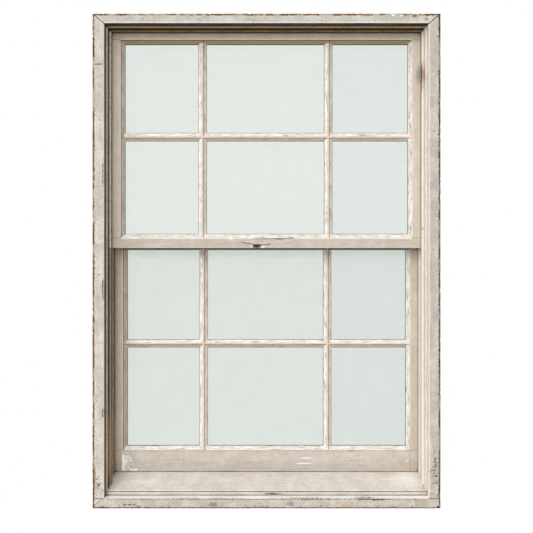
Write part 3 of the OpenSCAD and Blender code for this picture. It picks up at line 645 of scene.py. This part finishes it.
@dataclass
class CasingBoard:
    """A casing board whose outer arris has lost splinters and flakes."""

    WELD, FLAT, SMOOTH = 0.01, math.radians(1.0), math.radians(12.0)
    GRAIN, OCTAVES, CONTRAST, INTENSITY = 9.0, 4, 4.0, 0.32
    SUPPORT, PITCH, BITE = 9.0, 2.2, 3.2
    MARGIN = 1.0
    ALIGNED = 0.9

    node: str
    outward: Way
    outer: float
    wander: float = 2.0

    def runs_along(self, edge: Any) -> bool:
        """Tells whether an edge runs the board's long way."""
        way = edge.verts[1].co - edge.verts[0].co
        return abs(way.z if self.outward.value[0] else way.x) > self.ALIGNED * way.length

    def build(self, frame: Frame, material: Material) -> None:
        """Makes the worn board, which stands in for the sound one.

        Args:
            frame: The loaded frame.
            material: The board's paint.
        """
        board = duplicate(frame["nodes"][self.node], f"worn_{self.node}")
        bpy.ops.object.parent_clear(type="CLEAR_KEEP_TRANSFORM")
        bpy.ops.mesh.customdata_custom_splitnormals_clear()
        self.cut(board)
        self.wear(board)
        bpy.ops.object.shade_smooth_by_angle(angle=self.SMOOTH)
        board.data.materials.clear()
        board.data.materials.append(material)
        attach(board, "frame")
        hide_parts(self.node)
        LOG.info("%s built", board.name)

    def cut(self, board: Piece) -> None:
        """Merges the board's mesh and cuts it finely enough along its outer arris to be worn.

        Args:
            board: The copy of the sound board.
        """
        outward = Vector(self.outward.value)
        bpy.ops.object.mode_set(mode="EDIT")
        pick(board, "verts", lambda vert: True)
        bpy.ops.mesh.remove_doubles(threshold=self.WELD * MM)
        bpy.ops.mesh.dissolve_limited(angle_limit=self.FLAT)
        for place, way in ((outward * (self.outer - self.SUPPORT) * MM, outward),
                           (Vector((0.0, depth(self.SUPPORT), 0.0)), Vector(Way.ROOM.value))):
            pick(board, "faces", lambda part: True)
            bpy.ops.mesh.bisect(plane_co=place, plane_no=way)
        span = max(board.dimensions) / 2
        cuts = round(math.sqrt(max(board.dimensions) / (self.PITCH * MM))) - 1
        for least in (span, span / (cuts + 1)):
            pick(board, "edges", lambda edge: edge.calc_length() > least and self.runs_along(edge))
            bpy.ops.mesh.subdivide(number_cuts=cuts)
        bpy.ops.object.mode_set(mode="OBJECT")

    def wear(self, board: Piece) -> None:
        """Bites splinters out of the board's outer side and arris.

        Args:
            board: The finely cut board.
        """
        outward = Vector(self.outward.value)
        near = (self.SUPPORT - self.MARGIN) * MM
        places = board.data.vertices
        side = [vert.index for vert in places if vert.co.dot(outward) > self.outer * MM - near]
        arris = [number for number in side if places[number].co.y < depth(0.0) + near]
        splinters = bpy.data.textures.new(f"splinters_of_{self.node}", "CLOUDS")
        splinters.noise_scale = self.GRAIN * MM
        splinters.noise_depth = self.OCTAVES
        splinters.contrast = self.CONTRAST
        splinters.intensity = self.INTENSITY
        splinters.use_clamp = True
        axis = "X" if outward.x else "Z"
        for name, worn, way, bite in (("side", side, axis, self.wander * (outward.x + outward.z)),
                                      ("arris", arris, "NORMAL", self.BITE)):
            board.vertex_groups.new(name=name).add(worn, 1.0, "REPLACE")
            bpy.ops.object.modifier_add(type="DISPLACE")
            bites = board.modifiers[-1]
            bites.texture = splinters
            bites.texture_coords = "LOCAL"
            bites.vertex_group = name
            bites.direction = way
            bites.mid_level = 0.0
            bites.strength = -bite * MM
            bpy.ops.object.modifier_apply(modifier=bites.name)


LEFT_CASING_MARKS = (
    Mark((-492, 1301), (14, 1.6), "4a3d30", 0.9, 0.4),
    Mark((-494, 70), (13, 26), "463c32", 0.9, 6, 0.16),
    Mark((-504, 98), (6, 26), "9c8262", 0.8, 0.9),
    Mark((-492, 190), (17, 140), "6e6254", 0.75, 9, 0.4),
    Mark((-492, 1080), (17, 330), "77695a", 0.7, 9, 0.44),
    Mark((-478, 643), (3.4, 32), "463a2e", 0.85, 1.4),
    Mark((-478, 281), (3.4, 17), "3d332a", 0.85, 1),
    Mark((-478, 985), (2.8, 44), "5a4d3f", 0.75, 1.8),
    Mark((-491, 682), (8, 12), "66594b", 0.75, 5, 0.2))
RIGHT_CASING_MARKS = (
    Mark((494, 111), (13, 50), "4a3f36", 0.85, 7, 0.15),
    Mark((497, 80), (6, 10), "4f443a", 0.8, 3, 0.1),
    Mark((490, 1295), (9, 26), "4a4038", 0.8, 8, 0.34),
    Mark((506.5, 1037), (4.5, 12), "45301f", 0.95, 0.9),
    Mark((492, 965), (11, 26), "a4a3a2", 0.6, 2.4, soft=0.5),
    Mark((492, 561), (13, 38), "a1a09f", 0.65, 2.8, 0.1, 0.5))
LEVEL_CASING_MARKS = (
    Mark((370, 1445.5), (6.5, 2.8), "ffffff", 1, 0.4),
    Mark((396, 1444.5), (4.5, 3), "ffffff", 1, 0.4),
    Mark((434, 1442), (8, 3.5), "5a4f43", 0.9, 1.6),
    Mark((469, 1433), (6, 5), "837a70", soft=0.8),
    Mark((285, 29), (34, 3), "38302a", 0.9, 1.6),
    Mark((325, 27.5), (26, 2.6), "3a322b", 0.85, 1.8),
    Mark((120, 29), (90, 2.4), "4a4138", 0.85, 2.2, 0.1),
    Mark((-180, 29), (120, 2.4), "4a4138", 0.85, 2.2, 0.15),
    Mark((-399, 12.5), (26, 3), "453a2f", 0.85, 4, 0.16),
    Mark((455, 14), (15, 14), "aba298", 0.5, 0.4),
    Mark((502, 4.5), (5, 4.5), "2b2018", 0.95, 0.5),
    Mark((0, 28.6), (470, 1.5), "4a4138", 0.8, 3, 0.12),
    Mark((0, 15), (480, 13), "f8f6f1", 0.8, 9, 0.4),
    Mark((60, 14), (440, 12), "635a50", 0.75, 9, 0.43),
    Mark((-440, 15), (60, 13), "6b5f52", 0.75, 8, 0.36),
    Mark((72, 15), (10, 7), "838282", 0.75, 1.6),
    Mark((-157, 12.5), (12, 7), "726d67", 0.75, 2.2),
    Mark((236, 4), (20, 3), "b98d62", 0.85, 1.4),
    Mark((-478, 3), (22, 3), "8a5f3c", 0.85, 1.4),
    Mark((-30, 31.5), (40, 2.6), "fdfcf9", 0.95, 1),
    Mark((-185, 31.5), (16, 2.6), "fdfcf9", 0.95, 1))


@dataclass
class Casing:
    """The picture-frame casing: two side boards, a head and a bottom board."""

    half_width: float = 510.0
    height: float = 1450.0
    inner_half: float = 475.0
    head: float = 1420.0
    foot: float = 30.0
    foot_wander: float = 1.6

    def seams(self) -> tuple[Seam, ...]:
        """Lists the painted highlights along the boards' inner arrises, and over them their joints, cracks and dark
        lines along the inner edges.
        """
        inner, outer, head, foot = self.inner_half, self.half_width, self.head, self.foot
        return (
            # Painted highlights where light catches the bottom board's top bevel, the head's lower arris and the side
            # boards' inner arrises.
            Seam((0, foot + 2.4), (inner, foot + 2.4), 6, 0.9, tone=Tone.RUBBED),
            Seam((0, head + 3.2), (inner, head + 3.2), 3, 0.75, tone=Tone.RUBBED),
            Seam((inner + 1.4, foot), (inner + 1.4, head), 3.0, 0.6, tone=Tone.RUBBED),
            Seam((inner, head), (outer, self.height), 3.2, 0.95),
            Seam((inner, foot), (outer, foot), 2.4, 0.9),
            Seam((477, 30), (507.5, 8.5), 1.8, 0.9, Side.LEFT),
            Seam((437, 1), (437, 30), 1.8, 0.85, Side.RIGHT),
            # Dark lines just inside the bottom board's and the head's inner edges.
            Seam((0, 28.4), (inner, 28.4), 2.4, 0.4),
            Seam((0, head + 0.2), (inner, head + 0.2), 2.2, 0.85))

    def paint(self, grain: Grain, board: str, coat: str, shade: str, marks: tuple[Mark, ...],
              crevice_share: float = 0.9, pale: tuple[Reveal, ...] = ()) -> Material:
        """Makes the paint of one board or two.

        Args:
            grain: The way the boards run.
            board: The word for them in the material's name.
            coat: The paint's own colour.
            shade: The colour of its grubby blotches.
            marks: Its stains, chips and cracks.
            crevice_share: How much painted shade its inner corners take.
            pale: Faces that take a painted highlight.

        Returns:
            The paint.
        """
        return WornPaint(
            f"weathered_paint_on_{board}_casing", grain, coat, shade, dirt="9d9387", chip="7d7368", chip_share=0.75,
            seams=self.seams(), marks=marks, shelter_share=0.15, crevice_share=crevice_share,
            # Painted shade on faces that look right or down, and a painted highlight on faces that look up.
            reveals=(Reveal(Way.RIGHT, "4f3d2a", 0.85), Reveal(Way.DOWN, "150d07", 0.97),
                     Reveal(Way.UP, "fbf8f2", 0.95), *pale),
            edge=WornEdge(self.half_width, self.height, reach=6.4, wander=12.0, timber="86694d",
                          shadow="43301f", held=0.75, foot_inset=2.2)).build()

    def build(self, frame: Frame) -> None:
        """Makes the four worn boards."""
        left = self.paint(Grain.UPRIGHT, "left", "d5cfc8", "bdb7ae", LEFT_CASING_MARKS)
        # The right boards take less painted shade in their corners, and a painted highlight on faces that look left,
        # towards the light.
        right = self.paint(Grain.UPRIGHT, "right", "cac5be", "b2aca4", RIGHT_CASING_MARKS,
                           crevice_share=0.25, pale=(Reveal(Way.LEFT, "f8f3ea", 0.92),))
        level = self.paint(Grain.ACROSS, "level", "d1ccc5", "bbb5ad", LEVEL_CASING_MARKS)
        CasingBoard("left_casing", Way.LEFT, self.half_width).build(frame, left)
        CasingBoard("right_casing", Way.RIGHT, self.half_width).build(frame, right)
        CasingBoard("head_casing", Way.UP, self.height).build(frame, level)
        CasingBoard("bottom_casing", Way.DOWN, 0.0, self.foot_wander).build(frame, level)


@dataclass
class BoxFrame:
    """The jambs, the stops planted on them and the sill."""

    # Painted shade on faces that look down.
    UNDER = Reveal(Way.DOWN, "20160d", 0.95)
    BARE_BACK = (0.6, 0.0, "b3986f", "8d734f")

    step: Pair = (471.6, 1415.4)
    inner_step: Pair = (465.1, 1409.0)
    foot: float = 30.0
    meeting: float = 765.0
    jamb_back: float = 500.0
    jamb_top: float = 1445.0
    clear_top: float = 2000.0
    sill_end: float = 475.0

    def stops(self, frame: Frame) -> None:
        """Paints the blind stops and parting beads, the left and head ones in coats darkened by painted shade."""
        step, inner_step = self.step, self.inner_step
        # The left stops: a dark coat that is painted shade with grime, more painted shade on faces that look right or
        # down, and painted highlights along their arrises.
        left = WornPaint(
            "grimy_paint_on_left_stops", Grain.UPRIGHT, "a89a83", "8b7a60", dirt="776550", chip="6f5f4c",
            dirt_share=0.4, chip_share=0.4,
            seams=(Seam((step[0], self.foot), step, 2.8, 0.8, tone=Tone.RUBBED),
                   Seam((inner_step[0], self.foot), inner_step, 4.0, 0.3, tone=Tone.RUBBED),
                   Seam((inner_step[0], self.meeting), inner_step, 5.5, 0.97, tone=Tone.RUBBED)),
            reveals=(Reveal(Way.RIGHT, "3d2c1c", 0.9), self.UNDER),
            marks=(Mark((-465, 180), (12, 95), "a58a66", 0.5, 0.8),))
        # The right stops: painted highlights on faces that look left and along an arris, painted shade underneath,
        # and little painted shade in their corners.
        right = WornPaint(
            "weathered_paint_on_right_stops", Grain.UPRIGHT, "ddd6cd", "d2cabf", dirt="b4a38d", chip="a5927a",
            chip_share=0.4, shelter_share=0.0, crevice_share=0.1,
            seams=(Seam((inner_step[0], self.foot), inner_step, 5.0, 0.6, tone=Tone.RUBBED),),
            reveals=(Reveal(Way.LEFT, "f6f0e6", 0.85), self.UNDER), marks=(
                Mark((464, 1273), (5, 52), "b07d43", 0.9, 0.8, soft=0.4),
                Mark((463, 1280), (5, 30), "5a3616", 0.97),
                Mark((465, 823), (2.6, 4), "3a3028", 0.9, 0.4)))
        # The head's stops: a dark coat that is painted shade under the head casing, more painted shade underneath,
        # and a painted highlight along the arris.
        level = WornPaint(
            "weathered_paint_on_level_stops", Grain.ACROSS, "a18a60", "7e6744", dirt="57452f", chip="5d4c39",
            chip_share=0.4, seams=(Seam((0.0, step[1]), step, 2.6, 0.45, tone=Tone.RUBBED),), reveals=(self.UNDER,))
        for side, paint in (("left", left), ("right", right), ("head", level)):
            dress(frame, paint.build(), f"{side}_blind_stop", f"{side}_parting_bead")

    def sill(self, frame: Frame) -> None:
        """Paints the sill."""
        end = self.sill_end
        paint = WornPaint(
            "weathered_paint_on_sill", Grain.ACROSS, "e3dfd9", "d4cec7", dirt="a89e91", chip="8d8174",
            # Its recesses take some of the warm painted shade tint.
            dirt_share=0.45, shelter_share=0.35,
            seams=(Seam((0.0, 44.8), (end, 44.8), 2.2, 0.55), Seam((0.0, 34.2), (end, 34.2), 3.4, 0.7)),
            marks=(
                Mark((428, 70), (46, 15), "f7f5f1", 0.75, 0.9, soft=1),
                Mark((-360, 64), (60, 9), "f2f0ec", 0.6, 2.6, 0.1, 0.6),
                Mark((72, 56), (18, 9), "f7f5f1", 0.85, 6, 0.3),
                Mark((-120, 66), (240, 14), "f7f5f1", 0.8, 9, 0.42),
                Mark((20, 38.5), (26, 2.2), "463b2f", 0.85, 1.6)),
            edge=WornEdge(self.jamb_back, self.clear_top, *self.BARE_BACK))
        dress(frame, paint.build(), "sill")

    def jambs(self, frame: Frame) -> None:
        """Paints the jambs and the inner stops, whose backs in the wall are bare."""
        for name, grain, nodes in (
                ("jambs", Grain.UPRIGHT, ("left_jamb", "right_jamb", "left_inner_stop", "right_inner_stop")),
                ("head_jamb", Grain.ACROSS, ("head_jamb", "head_inner_stop", "sill_inner_stop"))):
            paint = WornPaint(
                f"weathered_paint_on_{name}", grain, "d8cfc2", "c4b9aa", dirt="94826b", chip="8a7a66", chip_share=0.4,
                edge=WornEdge(self.jamb_back, self.jamb_top, *self.BARE_BACK))
            dress(frame, paint.build(), *nodes)

    def dress(self, frame: Frame) -> None:
        """Paints the jambs, stops, beads and sill."""
        self.stops(frame)
        self.sill(frame)
        self.jambs(frame)


UPPER_MARKS = (
    Mark((-43, 768.5), (6, 3.5), "efebe5", 0.5, 0.8),
    Mark((-12, 768), (6, 3.5), "f4f1ec", 0.75, 0.8),
    Mark((-29, 769.6), (14, 5.5), "35302d", 0.95),
    Mark((-28, 774), (14, 2), "26201c", 0.95, 0.5),
    Mark((38, 791.6), (15, 2.2), "4a4541", 0.9),
    Mark((-106, 793), (9, 3), "f8f6f1", 0.9),
    Mark((456, 1283), (9, 27), "7d7772", 0.7, 0.2, soft=0.8),
    Mark((0, 780), (470, 16), "f7f5f1", 0.8, 9, 0.46))
UPPER_SEAMS = (
    Seam((36, 774.8), (76, 781.1), 2.4, 0.9, Side.LEFT),
    Seam((-18, 772.8), (11, 775.6), 2.8, 0.95, Side.RIGHT),
    Seam((-41, 791.6), (81, 793), 2.6, 0.8, Side.RIGHT),
    # A wide soft dark band: painted shadow of the head casing on the top rail.
    Seam((0, 1420), (473.5, 1420), 40, 0.21),
    Seam((462.2, 796), (462.2, 1412), 2.8, 0.7, Side.RIGHT))
LOWER_MARKS = (
    Mark((-434, 112), (26, 34), "f3f3f0", 0.8, 2.4, 0.1, 0.6, from_x=-439.5),
    Mark((-438, 113), (7, 32), "fcfdfb", 0.95, 1, soft=0.4, from_x=-439.5),
    Mark((-405, 91), (14, 3), "f6f5f1", 0.8, 0.9),
    Mark((112.5, 110.4), (27, 2), "f5f3ee", 0.9, 0.5),
    Mark((120, 126.6), (19, 1.8), "f5f3ee"),
    Mark((432, 125), (26, 24), "f5f3ee", 0.75, 7, 0.3),
    Mark((0, 118), (470, 30), "f7f5f1", 0.75, 9, 0.46))
LOWER_SEAMS = (
    Seam((0, 85.2), (473.5, 85.2), 3, 0.9),
    # A wide soft dark band along the foot of the bottom rail.
    Seam((0, 93), (473.5, 93), 46, 0.14),
    Seam((0, 148.6), (436, 148.6), 1.8, 0.24),
    Seam((436, 86), (436, 150), 1.6, 0.4, Side.RIGHT))


@dataclass
class Sash:
    """One six-light sash: stiles, rails, bars, panes and putty."""

    STILE_COAT = ("d0c9c0", "c2baaf")
    FILM = 0.10
    # Offset of the painted highlight along the stiles' arris beside the putty.
    RUB = 1.3

    name: str
    rails: tuple[str, str]
    rail_coat: tuple[str, str]
    joints: Lines
    tint: str
    right_tint: str
    marks: tuple[Mark, ...]
    seams: tuple[Seam, ...]
    sight_z: Lines
    # The putty takes painted shadow lines at putty_z and putty_x, along its shaded edges.
    putty_z: Lines
    # Heights of painted highlights along the rails' arrises.
    rubbed: Lines = ()
    shaded_top: float | None = None
    sight_x: Lines = (-425.0, -203.25, -180.75, 174.25, 196.75, 425.0)
    putty_x: Lines = (-435.3, -188.8, 188.7)
    wall: float = 436.0
    edge: float = 473.5

    @classmethod
    def upper(cls) -> "Sash":
        """Gives the upper sash, which stands in front."""
        return cls(
            "upper", ("top_rail", "meeting_rail"), ("c7c0b6", "b8afa3"), (1387.3, 794.5), "e6ede8", "e3eae6",
            UPPER_MARKS, UPPER_SEAMS,
            sight_z=(1376.3, 1108.75, 1086.25, 805.5), putty_z=(1386.6, 1094.3), rubbed=(1388.7, 793.1))

    @classmethod
    def lower(cls) -> "Sash":
        """Gives the lower sash, whose top lies in the upper one's shade."""
        return cls(
            "lower", ("meeting_rail", "bottom_rail"), ("cec7be", "c0b8ae"), (771.5, 150.95), "e0e7e2", "dde4e0",
            LOWER_MARKS, LOWER_SEAMS,
            sight_z=(760.5, 485.25, 462.75, 161.95), putty_z=(470.8,), shaded_top=760.0)

    def paint(self, grain: Grain, way: str, coat: str, shade: str) -> Material:
        """Makes the paint of the stiles or the rails.

        Args:
            grain: The way the pieces run.
            way: The word for them in the material's name.
            coat: The paint's own colour.
            shade: The colour of its grubby blotches.

        Returns:
            The paint.
        """
        beside = self.wall + self.RUB
        seams = tuple(Seam((self.wall, z), (self.edge, z), 1.6, 0.6) for z in self.joints)
        # Painted highlights along the stiles' arris beside the putty and along the rails' arrises.
        seams += (Seam((beside, min(self.sight_z)), (beside, max(self.sight_z)), 2.8, 0.4, tone=Tone.RUBBED),)
        seams += tuple(Seam((0.0, z), (self.wall, z), 2.8, 0.7, tone=Tone.RUBBED) for z in self.rubbed)
        # A warm painted shade tint in recesses, painted shade in corners and on faces that look down.
        return WornPaint(
            f"weathered_paint_on_{self.name}_{way}", grain, coat, shade, dirt="9d917f", chip="8f8275",
            dirt_share=0.45, shelter="bfae8e", shelter_share=0.55, crevice_mm=12.0, seams=seams + self.seams,
            marks=self.marks, reveals=(Reveal(Way.DOWN, "3a2611", 0.9),)).build()

    def bar_paint(self, grain: Grain, way: str) -> Material:
        """Makes the glazing bars' paint, which is cleaner than the stiles' but chipped to the timber."""
        return WornPaint(
            f"chipped_paint_on_{self.name}_{way}", grain, "dcd3c6", "cdc2b3", dirt="a4937a", chip="806a50",
            chip_share=0.7, shelter_share=0.2, crevice_share=0.5).build()

    def glass(self, name: str, tint: str) -> Material:
        """Makes one of the sash's two kinds of glass."""
        return SheetGlass(f"{name}_of_{self.name}_sash", tint, self.FILM, self.shaded_top,
                          sight_x=self.sight_x, sight_z=self.sight_z).build()

    def dress(self, frame: Frame) -> None:
        """Paints the timber and puts in the putty and glass."""
        finishes = (
            (self.paint(Grain.UPRIGHT, "stiles", *self.STILE_COAT), ("left_stile", "right_stile")),
            (self.paint(Grain.ACROSS, "rails", *self.rail_coat), self.rails),
            (self.bar_paint(Grain.UPRIGHT, "bars"), ("left_bar", "right_bar")),
            (self.bar_paint(Grain.ACROSS, "cross_bars"), ("cross_bars",)),
            (LinseedPutty(f"painted_putty_of_{self.name}_sash", "e9e5df", "d5cec5", "83715a", self.shaded_top,
                          self.putty_x, self.putty_z).build(), ("putty",)),
            (self.glass("drawn_sheet_glass", self.tint),
             ("pane_top_left", "pane_top_middle", "pane_bottom_left", "pane_bottom_middle")),
            (self.glass("replaced_sheet_glass", self.right_tint), ("pane_top_right", "pane_bottom_right")))
        for material, parts in finishes:
            dress(frame, material, *(f"{self.name}_{part}" for part in parts))


@dataclass(frozen=True)
class ScrewSeat:
    """Where a screw head sits: its place as X, depth and Z, and the way it looks."""

    name: str
    body: str
    slot: str
    place: Triple
    looks: Way
    size: float = 1.0


@dataclass
class Fittings:
    """The iron pulleys and lifts and the brass bolt, with their screws."""

    SIDES = (("left", -1.0, Way.RIGHT), ("right", 1.0, Way.LEFT))
    TRACKS = (("outer", 86.0), ("inner", 137.0))
    PULLEY_X, PULLEY_ENDS = 475.0, (("upper", 1338.0), ("lower", 1242.0))
    LIFT_X, LIFT_Z, LIFT_ENDS = 220.0, 144.0, (("left", -14.0), ("right", 14.0))
    BOLT_X, BOLT_Z, BOLT_SIZE = 12.0, 784.0, 0.5
    ROOM_FACE = 157.5
    FACETS, ROUNDS, ROUND_SHARE, CLOSE, SMOOTH = 24, 3, 0.7, 0.01, math.radians(25.0)

    screw_radius: float = 3.2
    screw_proud: float = 0.6
    screw_sunk: float = 1.2
    slot_width: float = 0.9
    slot_deep: float = 0.8
    screw_turn: float = 0.83

    def dress(self, frame: Frame) -> None:
        """Gives the fittings their metal and their screws."""
        iron = CastMetal("cast_iron_handled", "4b443d", "3a2f27", metallic=0.85, rough=0.5).build()
        brass = CastMetal("cast_brass_dulled", "b3945a", "7d6234", metallic=1.0, rough=0.32).build()
        for side, _, _ in self.SIDES:
            for track, _ in self.TRACKS:
                dress(frame, iron, f"{track}_{side}_pulley_case", f"{track}_{side}_pulley_wheel")
            dress(frame, iron, f"{side}_sash_lift")
        dress(frame, brass, "bolt_strike", "bolt_bush", "sash_bolt")
        self.screws({"cast_iron": iron, "brass": brass})

    def model_screw(self) -> Piece:
        """Models one slotted screw head that looks along Z, with its seat at the origin.

        Returns:
            The screw.
        """
        bpy.ops.object.select_all(action="DESELECT")
        bpy.ops.mesh.primitive_cylinder_add(
            vertices=self.FACETS, radius=self.screw_radius * MM, depth=(self.screw_proud + self.screw_sunk) * MM,
            location=(0.0, 0.0, (self.screw_proud - self.screw_sunk) / 2 * MM))
        screw = bpy.context.object
        bpy.ops.object.transform_apply(location=True, rotation=True, scale=True)
        bpy.ops.object.mode_set(mode="EDIT")
        top = (self.screw_proud - self.CLOSE) * MM
        half = self.slot_width / 2 * MM
        pick(screw, "faces", lambda face: face.calc_center_median().z > top)
        bpy.ops.mesh.bevel(offset=self.ROUND_SHARE * self.screw_proud * MM, segments=self.ROUNDS, affect="EDGES")
        for place, way in ((half, 1.0), (-half, -1.0)):
            pick(screw, "faces", lambda face: face.calc_center_median().z > top)
            bpy.ops.mesh.bisect(plane_co=(0.0, place, 0.0), plane_no=(0.0, way, 0.0))
        pick(screw, "faces", lambda face: face.calc_center_median().z > top
             and abs(face.calc_center_median().y) < half)
        bpy.ops.mesh.extrude_region_move(TRANSFORM_OT_translate={"value": (0.0, 0.0, -self.slot_deep * MM)})
        bpy.ops.object.mode_set(mode="OBJECT")
        bpy.ops.object.shade_smooth_by_angle(angle=self.SMOOTH)
        return screw

    def seats(self) -> list[ScrewSeat]:
        """Lists two screws on each pulley plate, two on each lift and two on the bolt's flange."""
        seats = []
        for side, sign, inward in self.SIDES:
            for track, back in self.TRACKS:
                for end, z in self.PULLEY_ENDS:
                    seats.append(ScrewSeat(f"{track}_{side}_pulley_{end}_screw", "frame", "cast_iron",
                                           (sign * self.PULLEY_X, back, z), inward))
            for end, off in self.LIFT_ENDS:
                seats.append(ScrewSeat(f"{side}_lift_{end}_screw", "lower_sash", "cast_iron",
                                       (sign * self.LIFT_X + off, self.ROOM_FACE, self.LIFT_Z), Way.ROOM))
            seats.append(ScrewSeat(f"bolt_bush_{side}_screw", "lower_sash", "brass",
                                   (sign * self.BOLT_X, self.ROOM_FACE, self.BOLT_Z), Way.ROOM, self.BOLT_SIZE))
        return seats

    def screws(self, metals: dict[str, Material]) -> None:
        """Copies the screw to every seat, in the metal of its slot."""
        model = self.model_screw()
        for number, seat in enumerate(self.seats()):
            screw = duplicate(model, seat.name)
            x, back, z = seat.place
            turn = Quaternion(Way.UP.value, number * self.screw_turn)
            screw.rotation_euler = (Vector(seat.looks.value).to_track_quat("Z", "Y") @ turn).to_euler()
            screw.scale = (seat.size, seat.size, seat.size)
            screw.location = (x * MM, depth(back), z * MM)
            bpy.ops.object.transform_apply(location=True, rotation=True, scale=True)
            screw.data.materials.append(metals[seat.slot])
            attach(screw, seat.body)
            LOG.info("%s set", screw.name)
        bpy.data.objects.remove(model)


@dataclass(frozen=True)
class Lamp:
    """A broad far lamp: the way to it from the window, its strength and the angle it fills in degrees."""

    name: str
    towards: Triple
    strength: float
    spread: float

    def hang(self) -> None:
        """Hangs the lamp, unseen in glass."""
        bpy.ops.object.light_add(type="SUN")
        lamp = bpy.context.object
        lamp.name = self.name
        lamp.rotation_euler = Vector(self.towards).to_track_quat("Z", "Y").to_euler()
        lamp.visible_transmission = False
        lamp.visible_glossy = False
        lamp.data.energy = self.strength
        lamp.data.angle = math.radians(self.spread)


@dataclass
class Studio:
    """Soft light from the upper left, a white surround, a pale floor and the camera. Sizes are in metres."""

    LAMPS = (
        Lamp("key", (-0.28, -0.86, 0.42), 1.98, 45), Lamp("front_fill", (0.05, -1.0, 0.1), 0.3, 40),
        Lamp("sky_fill", (-0.1, -0.3, 1.0), 1.4, 70), Lamp("room_fill", (0.15, 1.0, 0.45), 1.9, 60))
    SENSOR, FOCAL = 36.0, 69.27
    WHITE, FLOOR_TONE, AMBIENT_TONE = "ffffff", "f4f3f1", "ffe6c6"
    FLOOR_SIDES, FLOOR_LIFT, FADE_START = 96, 0.55, 0.6

    camera_place: Triple = (0.0, -3.0985, 0.709)
    ambient: float = 0.12
    floor_radius: float = 9.0
    shadow_radius: float = 0.75

    def build(self) -> None:
        """Sets up the camera, the lamps, the surround and the floor."""
        self.camera()
        for lamp in self.LAMPS:
            lamp.hang()
        self.surround()
        self.floor()

    def camera(self) -> None:
        """Sets the camera straight in front of the window."""
        bpy.ops.object.camera_add(location=self.camera_place, rotation=(math.pi / 2, 0.0, 0.0))
        camera = bpy.context.object
        camera.data.sensor_width = self.SENSOR
        camera.data.lens = self.FOCAL
        bpy.context.scene.camera = camera

    def surround(self) -> None:
        """Makes the world white to see and dim to light by."""
        world = bpy.data.worlds.new("white_surround")
        bpy.context.scene.world = world
        tree = Tree(world)
        shown = tree.add("Background", {"Color": linear(self.WHITE), "Strength": 1.0})
        around = tree.add("Background", {"Color": linear(self.AMBIENT_TONE), "Strength": self.ambient})
        surface = tree.add("MixShader", {0: self.seen(tree), 1: around, 2: shown})
        tree.add("OutputWorld", {"Surface": surface})

    @staticmethod
    def seen(tree: Tree) -> Node:
        """Gives a node that is 1 for the rays that show a surround and 0 for those that light the object."""
        path = tree.add("LightPath", {})
        gloss = tree.math("MAXIMUM", (path, "Is Glossy Ray"), (path, "Is Transmission Ray"))
        return tree.math("MAXIMUM", (path, "Is Camera Ray"), gloss)

    def floor(self) -> None:
        """Lays a pale round floor that keeps the window's shadow and fades to white farther off."""
        bpy.ops.object.select_all(action="DESELECT")
        bpy.ops.mesh.primitive_circle_add(vertices=self.FLOOR_SIDES, radius=self.floor_radius, fill_type="NGON")
        floor = bpy.context.object
        floor.name = "pale_floor"
        tree = Tree(bpy.data.materials.new("matt_white_floor"))
        far = tree.add("VectorMath", {0: (tree.place, "Object")}, operation="LENGTH")
        fade = tree.ramp((far, "Value"), (self.FADE_START * self.shadow_radius, self.shadow_radius))
        seen = self.seen(tree)
        matt = tree.add("BsdfDiffuse", {"Color": linear(self.FLOOR_TONE)})
        lift = tree.math("MULTIPLY", seen, self.FLOOR_LIFT)
        glow = tree.add("Emission", {"Color": linear(self.WHITE), "Strength": lift})
        white = tree.add("Emission", {"Color": linear(self.WHITE), "Strength": 1.0})
        near = tree.add("AddShader", {0: matt, 1: glow})
        surface = tree.add("MixShader", {0: tree.math("MULTIPLY", fade, seen), 1: near, 2: white})
        tree.add("OutputMaterial", {"Surface": surface})
        floor.data.materials.append(tree.owner)


def main() -> None:
    """Builds the window's looks and its studio."""
    logging.basicConfig(level=logging.INFO, format="%(message)s")
    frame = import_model()
    bpy.ops.object.select_all(action="DESELECT")
    bpy.context.scene.view_settings.view_transform = "Standard"
    Studio().build()
    Casing().build(frame)
    BoxFrame().dress(frame)
    Sash.upper().dress(frame)
    Sash.lower().dress(frame)
    Fittings().dress(frame)


if __name__ == "__main__":
    main()
